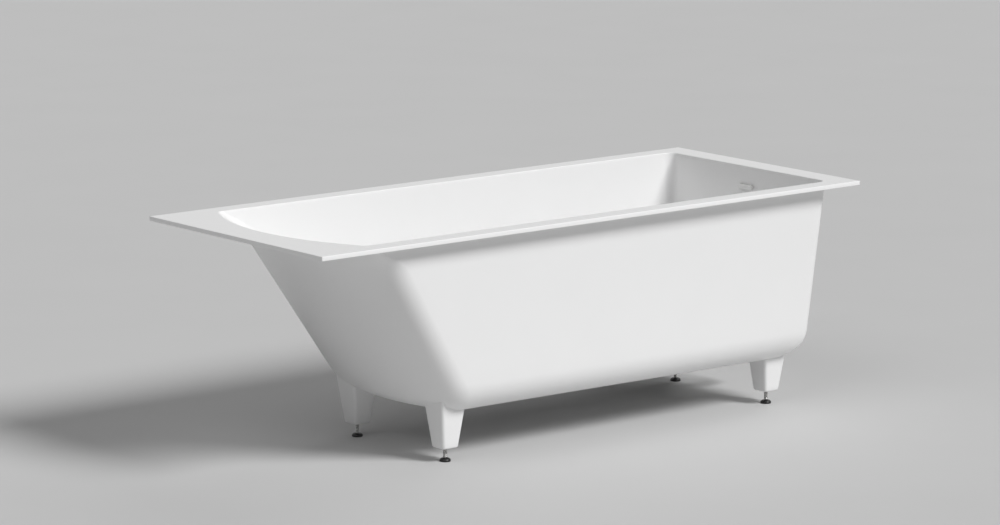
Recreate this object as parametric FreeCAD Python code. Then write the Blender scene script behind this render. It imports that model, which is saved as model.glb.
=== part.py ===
import FreeCAD, Part
import math
import os
from FreeCAD import Vector

# A freestanding bathtub cast in white mineral resin, with a thin flat rim, a reclined head end, four
# tapered legs on levelling feet, a click-clack waste with a shallow trap, and a rigid overflow pipe.
# X runs from the head end to the foot end, Y across the tub, Z up.
# The origin is on the floor under the middle of the rim.

# Rim: one thin plate with square corners round the whole basin
rim_length = 1700.0
rim_width = 700.0
rim_height = 585.0
rim_thickness = 11.0
rim_edge_round = 1.2
rim_head_width = 85.0

# Casting walls
wall = 7.0
floor_thickness = 10.0
opening_roll = 2.5

# How far the basin's outside stands in from the rim's edge, and how far each wall runs in towards the floor
head_wall_margin = 130.0
backrest_run = 309.0
foot_wall_margin = 62.0
foot_wall_run = 25.0
side_wall_margin = 45.0
side_wall_run = 46.0
underside_height = 122.4
floor_fall_deg = 0.35
bottom_round = 88.0

# The head end is an arc in plan: rise of the arc, and corner radii, at the rim and at the underside
head_arc_rise_top = 80.0
head_arc_rise_low = 58.0
head_corner_top = 72.0
head_corner_low = 72.0
foot_corner_top = 33.0
foot_corner_low = 30.0
underside_corner = 24.0

# The backrest rolls outwards to the rim over its last stretch
flare_depth = 62.0
flare_knee_rise = 32.0
flare_corner = 32.0

# Legs: tapered square castings bonded under the basin
head_leg_setback = 56.0
foot_leg_setback = 69.0
side_leg_setback = 83.0
leg_bottom_height = 34.5
leg_bottom_side = 48.0
leg_taper_share = 0.123
leg_edge_round = 8.0
leg_bottom_round = 4.5
leg_blank_height = 165.0

# Threaded sleeve in each leg, and the levelling foot that screws into it
thread_radius = 5.0
thread_clearance = 0.05
sleeve_radius = 7.0
sleeve_length = 25.0
stud_bore_radius = 5.8
stud_bore_depth = 62.0
stud_top_height = 78.0
stud_tip_chamfer = 1.0
stud_neck_radius = 3.2
stud_gap_above_pad = 0.5
ball_radius = 4.2
ball_height = 4.7
ball_clearance = 0.05
pad_radius = 13.75
pad_height = 8.6
pad_edge_height = 2.6
pad_top_radius = 6.2

# Waste outlet in the basin floor
drain_setback = 183.0
drain_hole_radius = 26.0
drain_recess_radius = 37.0
drain_recess_depth = 3.0
underside_spot_depth = 0.8
flange_radius = 35.0
flange_thickness = 3.0
flange_edge_round = 1.0
flange_mouth_radius = 24.0
flange_cone_depth = 3.0
flange_tube_radius = 23.8
flange_bore_radius = 20.6
flange_tube_length = 30.0
flange_seal_thickness = 1.5
strainer_depth = 20.0
strainer_thickness = 4.0
strainer_spoke_width = 3.0
strainer_spokes = 4
strainer_hub_radius = 8.0
strainer_thread_radius = 4.0

# Click-clack plug and the cartridge that latches it up or down
plug_radius = 31.0
plug_edge_height = 3.6
plug_dome_rise = 2.2
plug_gap = 0.3
plug_sleeve_radius = 9.4
plug_sleeve_clearance = 0.06
plug_sleeve_length = 18.0
plug_seal_thickness = 2.4
plug_seal_width = 6.0
cartridge_radius = 7.5
cartridge_top_drop = 2.0
cartridge_foot_length = 7.0
cartridge_foot_clearance = 0.05

# Waste body under the basin
body_seal_thickness = 4.0
body_seal_radius = 37.0
collar_radius = 38.0
collar_thickness = 5.0
cup_radius = 31.0
cup_wall = 2.5
cup_bottom_drop = 52.4
cup_bottom_round = 14.0
outlet_axis_drop = 32.4
inlet_axis_drop = 28.4
port_wall = 3.4
port_reach = 24.0
nut_wall = 3.4
nut_length = 20.0
nut_end_wall = 3.0
nut_clearance = 0.1
nut_ribs = 8
nut_rib_height = 0.8
nut_rib_width = 3.0
pipe_wall = 2.0
pipe_socket_depth = 16.0
pipe_clearance = 0.1
pipe_stop_gap = 2.0

# Shallow trap with a screw-off cup, and the waste pipe towards the wall
waste_pipe_radius = 20.0
trap_y = 138.0
trap_radius = 36.0
trap_wall = 2.5
trap_top_drop = 9.4
trap_skirt_drop = 66.4
trap_skirt_radius = 34.4
trap_cup_radius = 38.4
trap_cup_top_drop = 56.4
trap_cup_bottom_drop = 77.4
trap_cup_round = 5.0
trap_cup_grips = 12
trap_cup_grip_depth = 1.0
trap_cup_grip_radius = 2.2
trap_baffle_drop = 71.4
trap_baffle_clearance = 0.5
trap_seal_thickness = 3.0
waste_pipe_length = 116.0
waste_pipe_chamfer = 1.5
spigot_radius = 25.0
spigot_length = 50.0
spigot_cone_length = 6.0

# Overflow in the foot wall: slot, inner flange, slim cover, screw, gasket, elbow and pipe
overflow_drop = 53.5
overflow_slot_length = 44.0
overflow_slot_height = 8.0
overflow_lip_thickness = 2.0
overflow_neck_clearance = 0.3
overflow_neck_wall = 1.2
overflow_neck_into_elbow = 4.0
overflow_web_width = 9.0
overflow_web_depth = 6.0
overflow_cover_length = 54.0
overflow_cover_height = 14.0
overflow_cover_depth = 7.0
overflow_cover_shell = 1.5
overflow_cover_edge_round = 1.5
overflow_cover_gap = 0.3
overflow_cover_grip_clearance = 0.1
overflow_inlet_length = 36.0
overflow_screw_radius = 2.0
overflow_screw_head_radius = 3.6
overflow_screw_head_height = 2.2
overflow_screw_slot_width = 1.0
overflow_screw_slot_depth = 1.1
overflow_screw_length = 28.0
overflow_gasket_radius = 30.0
overflow_gasket_thickness = 4.0
overflow_seat_gap = 0.02
elbow_flange_radius = 30.0
elbow_flange_thickness = 4.0
elbow_chamber_radius = 25.0
elbow_wall = 2.5
elbow_post_radius = 6.0
overflow_pipe_offset = 28.0
overflow_pipe_radius = 14.0
elbow_back_clearance = 3.0
elbow_socket_drop = 26.0
overflow_bend_radius = 40.0

# Steps of the lofted skins and of the turned rounds
flare_steps = 3
bottom_steps = 5
turned_steps = 2
ball_steps = 3
plug_dome_steps = 3
port_start_share = 0.6

# One overrun for all cuts
overrun = 5.0

# Places worked out from the driving sizes
head_wall_top_x = -rim_length / 2 + head_wall_margin
head_wall_low_x = head_wall_top_x + backrest_run
foot_wall_top_x = rim_length / 2 - foot_wall_margin
foot_wall_low_x = foot_wall_top_x - foot_wall_run
side_wall_top_y = rim_width / 2 - side_wall_margin
side_wall_low_y = side_wall_top_y - side_wall_run
head_leg_x = head_wall_low_x + head_leg_setback
foot_leg_x = foot_wall_low_x - foot_leg_setback
leg_y = side_wall_low_y - side_leg_setback
drain_x = foot_wall_low_x - drain_setback
overflow_height = rim_height - overflow_drop
rim_underside = rim_height - rim_thickness
cup_bottom_height = underside_height - cup_bottom_drop
outlet_axis_height = underside_height - outlet_axis_drop
inlet_axis_height = underside_height - inlet_axis_drop
trap_top_height = underside_height - trap_top_drop
trap_skirt_height = underside_height - trap_skirt_drop
trap_cup_top_height = underside_height - trap_cup_top_drop
trap_cup_bottom_height = underside_height - trap_cup_bottom_drop
trap_baffle_height = underside_height - trap_baffle_drop
wall_drop = rim_underside - underside_height
fall = math.tan(math.radians(floor_fall_deg))
whole_turn = 360.0
quarter_turn = 90.0

os.makedirs("parts", exist_ok=True)


def save(name, shape):
    """Write one piece to its own file and print its size."""
    shape.exportStep("parts/" + name + ".step")
    box = shape.BoundBox
    print(name, "solids", len(shape.Solids), "volume", round(shape.Volume), "valid", shape.isValid(),
          "z", round(box.ZMin, 1), round(box.ZMax, 1))


def mix(first, last, share):
    return first + (last - first) * share


def cylinder(radius, height, base, direction=Vector(0, 0, 1)):
    return Part.makeCylinder(radius, height, base, direction)


def arc(first, middle, last):
    return Part.Arc(first, middle, last).toShape()


def tube(outer_radius, inner_radius, height, base, direction=Vector(0, 0, 1)):
    outside = cylinder(outer_radius, height, base, direction)
    return outside.cut(cylinder(inner_radius, height, base, direction))


def turned(points, base=Vector(0, 0, 0)):
    """A turned piece: points are (radius, height) pairs of its half section."""
    corners = [Vector(radius, 0, height) + base for radius, height in points]
    outline = Part.makePolygon(corners + [corners[0]])
    return Part.Face(outline).revolve(base, Vector(0, 0, 1), whole_turn)


def rounded(centre_radius, centre_height, across, up, first_deg, last_deg, steps=turned_steps):
    """Points of a round in a half section: an arc, or part of an ellipse, in even steps."""
    points = []
    for step in range(steps + 1):
        angle = math.radians(mix(first_deg, last_deg, step / steps))
        points.append((centre_radius + across * math.cos(angle), centre_height + up * math.sin(angle)))
    return points


def fused(pieces):
    whole = pieces[0]
    for piece in pieces[1:]:
        whole = whole.fuse(piece)
    return whole.removeSplitter()


# Basin surfaces

def underside_at(x):
    """Height of the basin's underside: it falls towards the waste."""
    return underside_height - fall * x


def lean(top, low):
    """Tangent of a wall's lean from upright."""
    return abs(low - top) / wall_drop


head_lean = lean(head_wall_top_x, head_wall_low_x)
foot_lean = lean(foot_wall_top_x, foot_wall_low_x)
side_lean = lean(side_wall_top_y, side_wall_low_y)


def inward(height, radius, wall_lean):
    """How far a wall has moved inwards, at a height above the surface that its bottom rounding meets."""
    angle = math.atan(wall_lean)
    tangent_height = radius * (1 - math.sin(angle))
    if height >= tangent_height:
        return -height * wall_lean
    centre = tangent_height / math.cos(angle)
    slope = math.asin(1 - height / radius)
    return centre - radius * math.cos(slope)


def across_wall(thickness, wall_lean):
    """A wall's thickness measured level."""
    return thickness / math.cos(math.atan(wall_lean))


def plan_wire(head_x, foot_x, half_width, arc_rise, head_corner, foot_corner, z, tilt_deg):
    """Level outline of the basin: arc at the head end, straight sides, rounded corners."""
    arc_radius = (half_width ** 2 + arc_rise ** 2) / (2 * arc_rise)
    arc_centre_x = head_x + arc_radius
    corner_y = half_width - head_corner
    reach = arc_radius - head_corner
    corner_x = arc_centre_x - math.sqrt(reach ** 2 - corner_y ** 2)
    turn = math.atan2(corner_y, arc_centre_x - corner_x)
    arc_end_x = arc_centre_x - arc_radius * math.cos(turn)
    arc_end_y = arc_radius * math.sin(turn)
    middle = (turn + math.pi / 2) / 2
    corner_mid_x = corner_x - head_corner * math.cos(middle)
    corner_mid_y = corner_y + head_corner * math.sin(middle)
    foot_side_x = foot_x - foot_corner
    foot_side_y = half_width - foot_corner
    foot_mid = foot_corner * math.sqrt(0.5)

    def at(x, y):
        return Vector(x, y, z)

    edges = [
        Part.makeLine(at(foot_x, -foot_side_y), at(foot_x, foot_side_y)),
        arc(at(foot_x, foot_side_y), at(foot_side_x + foot_mid, foot_side_y + foot_mid),
            at(foot_side_x, half_width)),
        Part.makeLine(at(foot_side_x, half_width), at(corner_x, half_width)),
        arc(at(corner_x, half_width), at(corner_mid_x, corner_mid_y), at(arc_end_x, arc_end_y)),
        arc(at(arc_end_x, arc_end_y), at(head_x, 0), at(arc_end_x, -arc_end_y)),
        arc(at(arc_end_x, -arc_end_y), at(corner_mid_x, -corner_mid_y), at(corner_x, -half_width)),
        Part.makeLine(at(corner_x, -half_width), at(foot_side_x, -half_width)),
        arc(at(foot_side_x, -half_width), at(foot_side_x + foot_mid, -foot_side_y - foot_mid),
            at(foot_x, -foot_side_y)),
    ]
    wire = Part.Wire(edges)
    wire.rotate(Vector(0, 0, z), Vector(0, 1, 0), tilt_deg)
    return wire


def basin_ring(height, inset, bottom_height, head_x=None, head_corner=None):
    """Outline of the basin's outside, or of its inside at a wall's inset, at a level above the floor."""
    depth_share = (rim_underside - height) / wall_drop
    radius = bottom_round - inset
    above = height - bottom_height
    lift = bottom_height - underside_height
    head_low = head_wall_low_x - head_lean * lift + across_wall(inset, head_lean)
    foot_low = foot_wall_low_x + foot_lean * lift - across_wall(inset, foot_lean)
    side_low = side_wall_low_y + side_lean * lift - across_wall(inset, side_lean)
    side_in = inward(above, radius, side_lean)
    rounded_in = side_in + above * side_lean
    half_width = side_low - side_in
    full_width = half_width + rounded_in
    foot_x = foot_low - inward(above, radius, foot_lean)
    if head_x is None:
        head_x = head_low + inward(above, radius, head_lean)
    if head_corner is None:
        head_corner = mix(head_corner_top, head_corner_low, depth_share) - inset
    foot_corner = mix(foot_corner_top, foot_corner_low, depth_share) - inset
    smallest = underside_corner - inset
    arc_rise = mix(head_arc_rise_top, head_arc_rise_low, depth_share) * half_width / full_width
    return plan_wire(head_x, foot_x, half_width, arc_rise, max(head_corner - rounded_in, smallest),
                     max(foot_corner - rounded_in, smallest), height, floor_fall_deg * max(depth_share, 0))


def basin_solid(top, inset, bottom_height, top_head_x):
    """The space inside one skin of the basin, lofted through level outlines from the rim down."""
    flare_end = rim_underside - flare_depth
    end_x = head_wall_top_x + head_lean * flare_depth + across_wall(inset, head_lean)
    knee = flare_end + flare_knee_rise
    knee_x = end_x - head_lean * flare_knee_rise
    wall_corner = head_corner_top - inset
    rings = []
    for step in range(flare_steps):
        t = step / flare_steps
        height = (1 - t) ** 2 * top + 2 * t * (1 - t) * knee + t ** 2 * flare_end
        head_x = (1 - t) ** 2 * top_head_x + 2 * t * (1 - t) * knee_x + t ** 2 * end_x
        corner = mix(flare_corner - inset, wall_corner, t)
        rings.append(basin_ring(height, inset, bottom_height, head_x, corner))
    rings.append(basin_ring(flare_end, inset, bottom_height))
    radius = bottom_round - inset
    start = math.atan(side_lean)
    for step in range(bottom_steps + 1):
        angle = mix(start, math.pi / 2, step / bottom_steps)
        rings.append(basin_ring(bottom_height + radius * (1 - math.sin(angle)), inset, bottom_height))
    return Part.makeLoft(rings, True, True), rings[0]


def head_flare_x(inset):
    """Where the backrest's roll meets the rim, on the outside and on the inside."""
    return -rim_length / 2 + rim_head_width - inset


outer_basin, _ = basin_solid(rim_underside, 0.0, underside_height, head_flare_x(-wall / 2))
inside_bottom_height = underside_height + floor_thickness
inner_basin, opening_outline = basin_solid(rim_height, wall, inside_bottom_height, head_flare_x(0))
opening_prism = Part.Face(opening_outline).extrude(Vector(0, 0, overrun))

foot_wall_slope = foot_wall_run / (rim_underside - underside_at(foot_wall_low_x))
overflow_wall_x = foot_wall_top_x - foot_wall_slope * (rim_underside - overflow_height)
overflow_inner_x = overflow_wall_x - across_wall(wall, foot_wall_slope)
overflow_centre = Vector(overflow_inner_x, 0, overflow_height)
foot_lean_deg = math.degrees(math.atan(foot_wall_slope))


def on_foot_wall(shape):
    """Turn a piece modelled on Z so that its Z points into the basin, square to the foot wall."""
    placed = shape.copy()
    placed.rotate(Vector(0, 0, 0), Vector(0, 1, 0), foot_lean_deg - quarter_turn)
    placed.translate(overflow_centre)
    return placed


drain_underside = underside_at(drain_x)
spot_height = drain_underside + underside_spot_depth
recess_height = drain_underside + floor_thickness - drain_recess_depth
flange_bottom = recess_height + flange_seal_thickness
flange_top = flange_bottom + flange_thickness


def on_drain(z):
    return Vector(drain_x, 0, z)


def around_opening(edge):
    """True for the edges where the rim's top turns down into the basin."""
    box = edge.BoundBox
    inside_x = max(-box.XMin, box.XMax) < rim_length / 2 - wall
    inside_y = max(-box.YMin, box.YMax) < rim_width / 2 - wall
    return box.ZMin > rim_height - opening_roll / 2 and inside_x and inside_y


def tub_shell():
    """Rim plate and basin in one casting, with the waste recess and the holes."""
    corner = Vector(-rim_length / 2, -rim_width / 2, rim_underside)
    plate = Part.makeBox(rim_length, rim_width, rim_thickness, corner)
    plate = plate.makeFillet(rim_edge_round, plate.Edges)
    shell = plate.fuse(outer_basin).cut(inner_basin.fuse(opening_prism)).removeSplitter()
    shell = shell.makeFillet(opening_roll, [edge for edge in shell.Edges if around_opening(edge)])
    recess = cylinder(drain_recess_radius, bottom_round, on_drain(recess_height))
    hole = cylinder(drain_hole_radius, floor_thickness + 2 * overrun, on_drain(drain_underside - overrun))
    spot = cylinder(collar_radius + overrun, underside_spot_depth + overrun,
                    on_drain(drain_underside - overrun))
    overflow_slot = slot_prism(overflow_slot_length, overflow_slot_height, -wall - overrun, overrun)
    shell = shell.cut(recess.fuse(hole)).cut(spot).cut(on_foot_wall(overflow_slot))
    return shell.removeSplitter()


def leg(centre_x, centre_y):
    """Tapered square leg with rounded edges, trimmed to the basin's underside and bored for its foot."""
    height = leg_blank_height - leg_bottom_height
    low = leg_bottom_side / 2
    high = low + leg_taper_share * height
    blank = Part.makeWedge(-low, 0, -low, -high, -high, low, height, low, high, high)
    blank.rotate(Vector(0, 0, 0), Vector(1, 0, 0), quarter_turn)
    blank.translate(Vector(centre_x, centre_y, leg_bottom_height))
    blank = blank.makeFillet(leg_edge_round, [edge for edge in blank.Edges if edge.BoundBox.ZLength > low])
    bottom_edges = [edge for edge in blank.Edges if edge.BoundBox.ZMax < leg_bottom_height + leg_bottom_round]
    blank = blank.makeFillet(leg_bottom_round, bottom_edges)
    base = Vector(centre_x, centre_y, leg_bottom_height)
    body = blank.cut(outer_basin)
    body = body.cut(cylinder(sleeve_radius, sleeve_length, base))
    return body.cut(cylinder(stud_bore_radius, stud_bore_depth, base))


def leg_sleeve(centre_x, centre_y):
    base = Vector(centre_x, centre_y, leg_bottom_height)
    return tube(sleeve_radius, thread_radius + thread_clearance, sleeve_length, base)


def ball_section(radius):
    """Half section of the foot's ball, from its lowest point to its neck."""
    neck_deg = math.degrees(math.acos(stud_neck_radius / ball_radius))
    return rounded(0, ball_height, radius, radius, -quarter_turn, neck_deg, ball_steps)


def foot_stud(centre_x, centre_y):
    """Threaded stud, with a ball at its foot that is held in the pad."""
    shank_bottom = pad_height + stud_gap_above_pad
    tip_radius = thread_radius - stud_tip_chamfer
    return turned(ball_section(ball_radius) + [
        (stud_neck_radius, shank_bottom), (tip_radius, shank_bottom),
        (thread_radius, shank_bottom + stud_tip_chamfer), (thread_radius, stud_top_height - stud_tip_chamfer),
        (tip_radius, stud_top_height), (0, stud_top_height),
    ], Vector(centre_x, centre_y, 0))


def foot_pad(centre_x, centre_y):
    """Round black pad with a domed top and a ball socket."""
    dome = rounded(pad_top_radius, pad_edge_height, pad_radius - pad_top_radius, pad_height - pad_edge_height,
                   0.0, quarter_turn)
    socket = ball_section(ball_radius + ball_clearance)
    mouth = [(socket[-1][0], pad_height)]
    return turned([(0, 0), (pad_radius, 0)] + dome + mouth + socket[::-1], Vector(centre_x, centre_y, 0))


# Waste outlet

def waste_flange():
    """Chromed flange with its threaded tube and the strainer cross that holds the cartridge."""
    tube_bottom = flange_top - flange_tube_length
    body = turned([
        (flange_bore_radius, tube_bottom), (flange_tube_radius, tube_bottom),
        (flange_tube_radius, flange_bottom), (flange_radius, flange_bottom),
        (flange_radius, flange_top - flange_edge_round), (flange_radius - flange_edge_round, flange_top),
        (flange_mouth_radius, flange_top), (flange_bore_radius, flange_top - flange_cone_depth),
    ], on_drain(0))
    cross_bottom = flange_top - strainer_depth - strainer_thickness
    spokes = []
    for index in range(strainer_spokes // 2):
        bar_length = 2 * flange_bore_radius + flange_edge_round
        bar = Part.makeBox(bar_length, strainer_spoke_width, strainer_thickness,
                           Vector(-bar_length / 2, -strainer_spoke_width / 2, 0))
        bar.rotate(Vector(0, 0, 0), Vector(0, 0, 1), index * whole_turn / strainer_spokes)
        bar.translate(on_drain(cross_bottom))
        spokes.append(bar)
    hub = cylinder(strainer_hub_radius, strainer_thickness, on_drain(cross_bottom))
    whole = fused([body, hub] + spokes)
    return whole.cut(cylinder(strainer_thread_radius, strainer_thickness, on_drain(cross_bottom)))


def waste_flange_seal():
    return tube(flange_radius, flange_tube_radius, flange_seal_thickness, on_drain(recess_height))


def waste_body_seal():
    return tube(body_seal_radius, flange_tube_radius, body_seal_thickness,
                on_drain(spot_height - body_seal_thickness))


def plug_cap():
    """Domed plug with the sleeve that slides on the cartridge."""
    bottom = flange_top + plug_gap
    edge = bottom + plug_edge_height
    dome = rounded(0, edge, plug_radius, plug_dome_rise, 0.0, quarter_turn, plug_dome_steps)
    bore = cartridge_radius + plug_sleeve_clearance
    return turned([
        (0, bottom), (bore, bottom), (bore, bottom - plug_sleeve_length),
        (plug_sleeve_radius, bottom - plug_sleeve_length), (plug_sleeve_radius, bottom),
        (plug_radius, bottom),
    ] + dome, on_drain(0))


def plug_seal():
    """Tapered rubber ring under the plug, which closes on the flange's cone."""
    bottom = flange_top + plug_gap
    slope = (flange_mouth_radius - flange_bore_radius) / flange_cone_depth
    outer = flange_mouth_radius - plug_gap
    lower = outer - slope * plug_seal_thickness
    inner = outer - plug_seal_width
    low = bottom - plug_seal_thickness
    return turned([(inner, bottom), (inner, low), (lower, low), (outer, bottom)], on_drain(0))


def click_cartridge():
    seat = flange_top - strainer_depth
    foot_radius = strainer_thread_radius - cartridge_foot_clearance
    top = flange_top - cartridge_top_drop
    return turned([
        (0, seat - cartridge_foot_length), (foot_radius, seat - cartridge_foot_length), (foot_radius, seat),
        (cartridge_radius, seat), (cartridge_radius, top - stud_tip_chamfer),
        (cartridge_radius - stud_tip_chamfer, top), (0, top),
    ], on_drain(0))


def union_nut(pipe_radius, port_radius, base, direction):
    """Ribbed compression nut: it turns on a port's thread and its end wall closes on the pipe."""
    outer = port_radius + nut_wall
    blank = cylinder(outer, nut_length, Vector(0, 0, 0))
    for index in range(nut_ribs):
        rib = Part.makeBox(nut_rib_height + nut_wall / 2, nut_rib_width, nut_length - nut_end_wall,
                           Vector(outer - nut_wall / 2, -nut_rib_width / 2, 0))
        rib.rotate(Vector(0, 0, 0), Vector(0, 0, 1), index * whole_turn / nut_ribs)
        blank = blank.fuse(rib)
    blank = blank.cut(cylinder(port_radius + nut_clearance, nut_length - nut_end_wall, Vector(0, 0, 0)))
    blank = blank.cut(cylinder(pipe_radius + pipe_clearance, nut_length, Vector(0, 0, 0)))
    return aimed(blank.removeSplitter(), base, direction)


def aimed(shape, base, direction):
    """Turn a piece modelled on Z to a new direction and place its origin."""
    placed = shape.copy()
    placed.Placement = FreeCAD.Placement(base, FreeCAD.Rotation(Vector(0, 0, 1), direction)).multiply(
        placed.Placement)
    return placed


towards_foot = Vector(1, 0, 0)
towards_back = Vector(0, 1, 0)
downwards = Vector(0, 0, -1)
inlet_port_radius = overflow_pipe_radius + port_wall
outlet_port_radius = waste_pipe_radius + port_wall
body_top = spot_height - body_seal_thickness
inlet_end_x = drain_x + cup_radius + port_reach
outlet_end_y = cup_radius + port_reach
inlet_end = Vector(inlet_end_x, 0, inlet_axis_height)
outlet_end = Vector(drain_x, outlet_end_y, outlet_axis_height)


def waste_body():
    """Cup under the drain, with a port for the overflow pipe and one for the trap."""
    low = cup_bottom_height
    collar_bottom = body_top - collar_thickness
    round_height = low + cup_bottom_round
    outside = turned([(0, low)] + rounded(cup_radius - cup_bottom_round, round_height, cup_bottom_round,
                                          cup_bottom_round, -quarter_turn, 0.0) + [
        (cup_radius, collar_bottom), (collar_radius, collar_bottom), (collar_radius, body_top), (0, body_top),
    ], on_drain(0))
    inlet_start = Vector(drain_x + cup_radius * port_start_share, 0, inlet_axis_height)
    outlet_start = Vector(drain_x, cup_radius * port_start_share, outlet_axis_height)
    inlet_length = inlet_end_x - inlet_start.x
    outlet_length = outlet_end_y - outlet_start.y
    outside = fused([
        outside,
        cylinder(inlet_port_radius, inlet_length, inlet_start, towards_foot),
        cylinder(outlet_port_radius, outlet_length, outlet_start, towards_back),
    ])
    room_bottom = low + cup_wall
    room_radius = cup_radius - cup_wall
    room = turned([
        (0, room_bottom), (room_radius - cup_bottom_round, room_bottom),
        (room_radius, room_bottom + cup_bottom_round), (room_radius, flange_top - flange_tube_length),
        (flange_tube_radius + thread_clearance, flange_top - flange_tube_length),
        (flange_tube_radius + thread_clearance, body_top + overrun), (0, body_top + overrun),
    ], on_drain(0))
    inlet_socket = Vector(inlet_end_x - pipe_socket_depth, 0, inlet_axis_height)
    outlet_socket = Vector(drain_x, outlet_end_y - pipe_socket_depth, outlet_axis_height)
    hollow = [
        room,
        cylinder(overflow_pipe_radius - pipe_wall, inlet_length, inlet_start, towards_foot),
        cylinder(overflow_pipe_radius + pipe_clearance, pipe_socket_depth, inlet_socket, towards_foot),
        cylinder(waste_pipe_radius - pipe_wall, outlet_length, outlet_start, towards_back),
        cylinder(waste_pipe_radius + pipe_clearance, pipe_socket_depth, outlet_socket, towards_back),
    ]
    return outside.cut(fused(hollow)).removeSplitter()


trap_port_end_y = trap_y + trap_radius + port_reach


def on_trap(z):
    return Vector(drain_x, trap_y, z)


def trap_body():
    """Drum with the inlet tube, a hanging baffle that makes the water seal, and the outlet port."""
    skirt_top = trap_cup_top_height
    drum = turned([
        (0, trap_skirt_height), (trap_skirt_radius, trap_skirt_height), (trap_skirt_radius, skirt_top),
        (trap_radius, skirt_top), (trap_radius, trap_top_height - trap_wall),
        (trap_radius - trap_wall, trap_top_height), (0, trap_top_height),
    ], on_trap(0))
    inlet_start_y = outlet_end_y - pipe_socket_depth + pipe_stop_gap
    inlet_start = Vector(drain_x, inlet_start_y, outlet_axis_height)
    inlet_length = trap_y - trap_radius * port_start_share - inlet_start_y
    outlet_start_y = trap_y + trap_radius * port_start_share
    outlet_start = Vector(drain_x, outlet_start_y, outlet_axis_height)
    outlet_length = trap_port_end_y - outlet_start_y
    outside = fused([
        drum,
        cylinder(waste_pipe_radius, inlet_length, inlet_start, towards_back),
        cylinder(outlet_port_radius, outlet_length, outlet_start, towards_back),
    ])
    room = cylinder(trap_skirt_radius - trap_wall, trap_top_height - trap_wall - trap_skirt_height,
                    on_trap(trap_skirt_height))
    socket = Vector(drain_x, trap_port_end_y - pipe_socket_depth, outlet_axis_height)
    outside = outside.cut(fused([
        room,
        cylinder(waste_pipe_radius - pipe_wall, inlet_length, inlet_start, towards_back),
        cylinder(waste_pipe_radius - pipe_wall, outlet_length, outlet_start, towards_back),
        cylinder(waste_pipe_radius + pipe_clearance, pipe_socket_depth, socket, towards_back),
    ]))
    upper = baffle(trap_skirt_radius - trap_wall, trap_skirt_height, trap_top_height - trap_wall)
    seal_bore = trap_skirt_radius - 2 * trap_wall
    lower = baffle(seal_bore - trap_baffle_clearance, trap_baffle_height, trap_skirt_height + trap_wall)
    return fused([outside, upper, lower])


def baffle(radius, bottom, top):
    """Upright plate across the trap that the water has to pass under."""
    plate = Part.makeBox(2 * radius, trap_wall, top - bottom,
                         Vector(drain_x - radius, trap_y - trap_wall / 2, bottom))
    return plate.common(cylinder(radius, top, on_trap(0)))


def trap_cup():
    """Screw-off cup with finger grips; it holds the water of the seal."""
    low = trap_cup_bottom_height
    bore = trap_skirt_radius + nut_clearance
    cup = turned([
        (0, low), (trap_cup_radius - trap_cup_round, low), (trap_cup_radius, low + trap_cup_round),
        (trap_cup_radius, trap_cup_top_height), (bore, trap_cup_top_height),
        (bore, trap_skirt_height - trap_seal_thickness),
        (trap_skirt_radius - 2 * trap_wall, trap_skirt_height - trap_seal_thickness),
        (trap_skirt_radius - 2 * trap_wall, low + trap_wall), (0, low + trap_wall),
    ], on_trap(0))
    for index in range(trap_cup_grips):
        angle = index * 2 * math.pi / trap_cup_grips
        reach = trap_cup_radius + trap_cup_grip_radius - trap_cup_grip_depth
        place = Vector(drain_x + reach * math.cos(angle), trap_y + reach * math.sin(angle), 0)
        cup = cup.cut(cylinder(trap_cup_grip_radius, trap_cup_top_height + overrun, place))
    return cup


def trap_seal():
    return tube(trap_skirt_radius, trap_skirt_radius - 2 * trap_wall, trap_seal_thickness,
                on_trap(trap_skirt_height - trap_seal_thickness))


def waste_pipe():
    """Rigid pipe from the trap, which widens to the spigot that plugs into the house's drain."""
    start_y = trap_port_end_y - pipe_socket_depth + pipe_stop_gap
    length = waste_pipe_length
    spigot_start = length - spigot_length
    cone_start = spigot_start - spigot_cone_length
    bore = waste_pipe_radius - pipe_wall
    spigot_bore = spigot_radius - pipe_wall
    outline = [
        (bore, 0), (waste_pipe_radius, 0), (waste_pipe_radius, cone_start), (spigot_radius, spigot_start),
        (spigot_radius, length - waste_pipe_chamfer), (spigot_radius - waste_pipe_chamfer, length),
        (spigot_bore, length), (spigot_bore, spigot_start), (bore, cone_start),
    ]
    return aimed(turned(outline), Vector(drain_x, start_y, outlet_axis_height), towards_back)


# Overflow: pieces square to the foot wall are modelled on Z, with Z = 0 on the wall's inner face

def slot_prism(length, height, bottom, top):
    """Prism with half-round ends, long across the wall, between two distances from the wall's face."""
    radius = height / 2
    half = length / 2 - radius
    depth = top - bottom
    middle = Part.makeBox(height, 2 * half, depth, Vector(-radius, -half, bottom))
    ends = [cylinder(radius, depth, Vector(0, side * half, bottom)) for side in (-1, 1)]
    return fused([middle] + ends)


overflow_neck_length = overflow_slot_length - 2 * overflow_neck_clearance
overflow_neck_height = overflow_slot_height - 2 * overflow_neck_clearance
overflow_neck_depth = wall + overflow_gasket_thickness + overflow_neck_into_elbow
overflow_cover_roof = overflow_cover_depth - overflow_cover_shell


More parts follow.
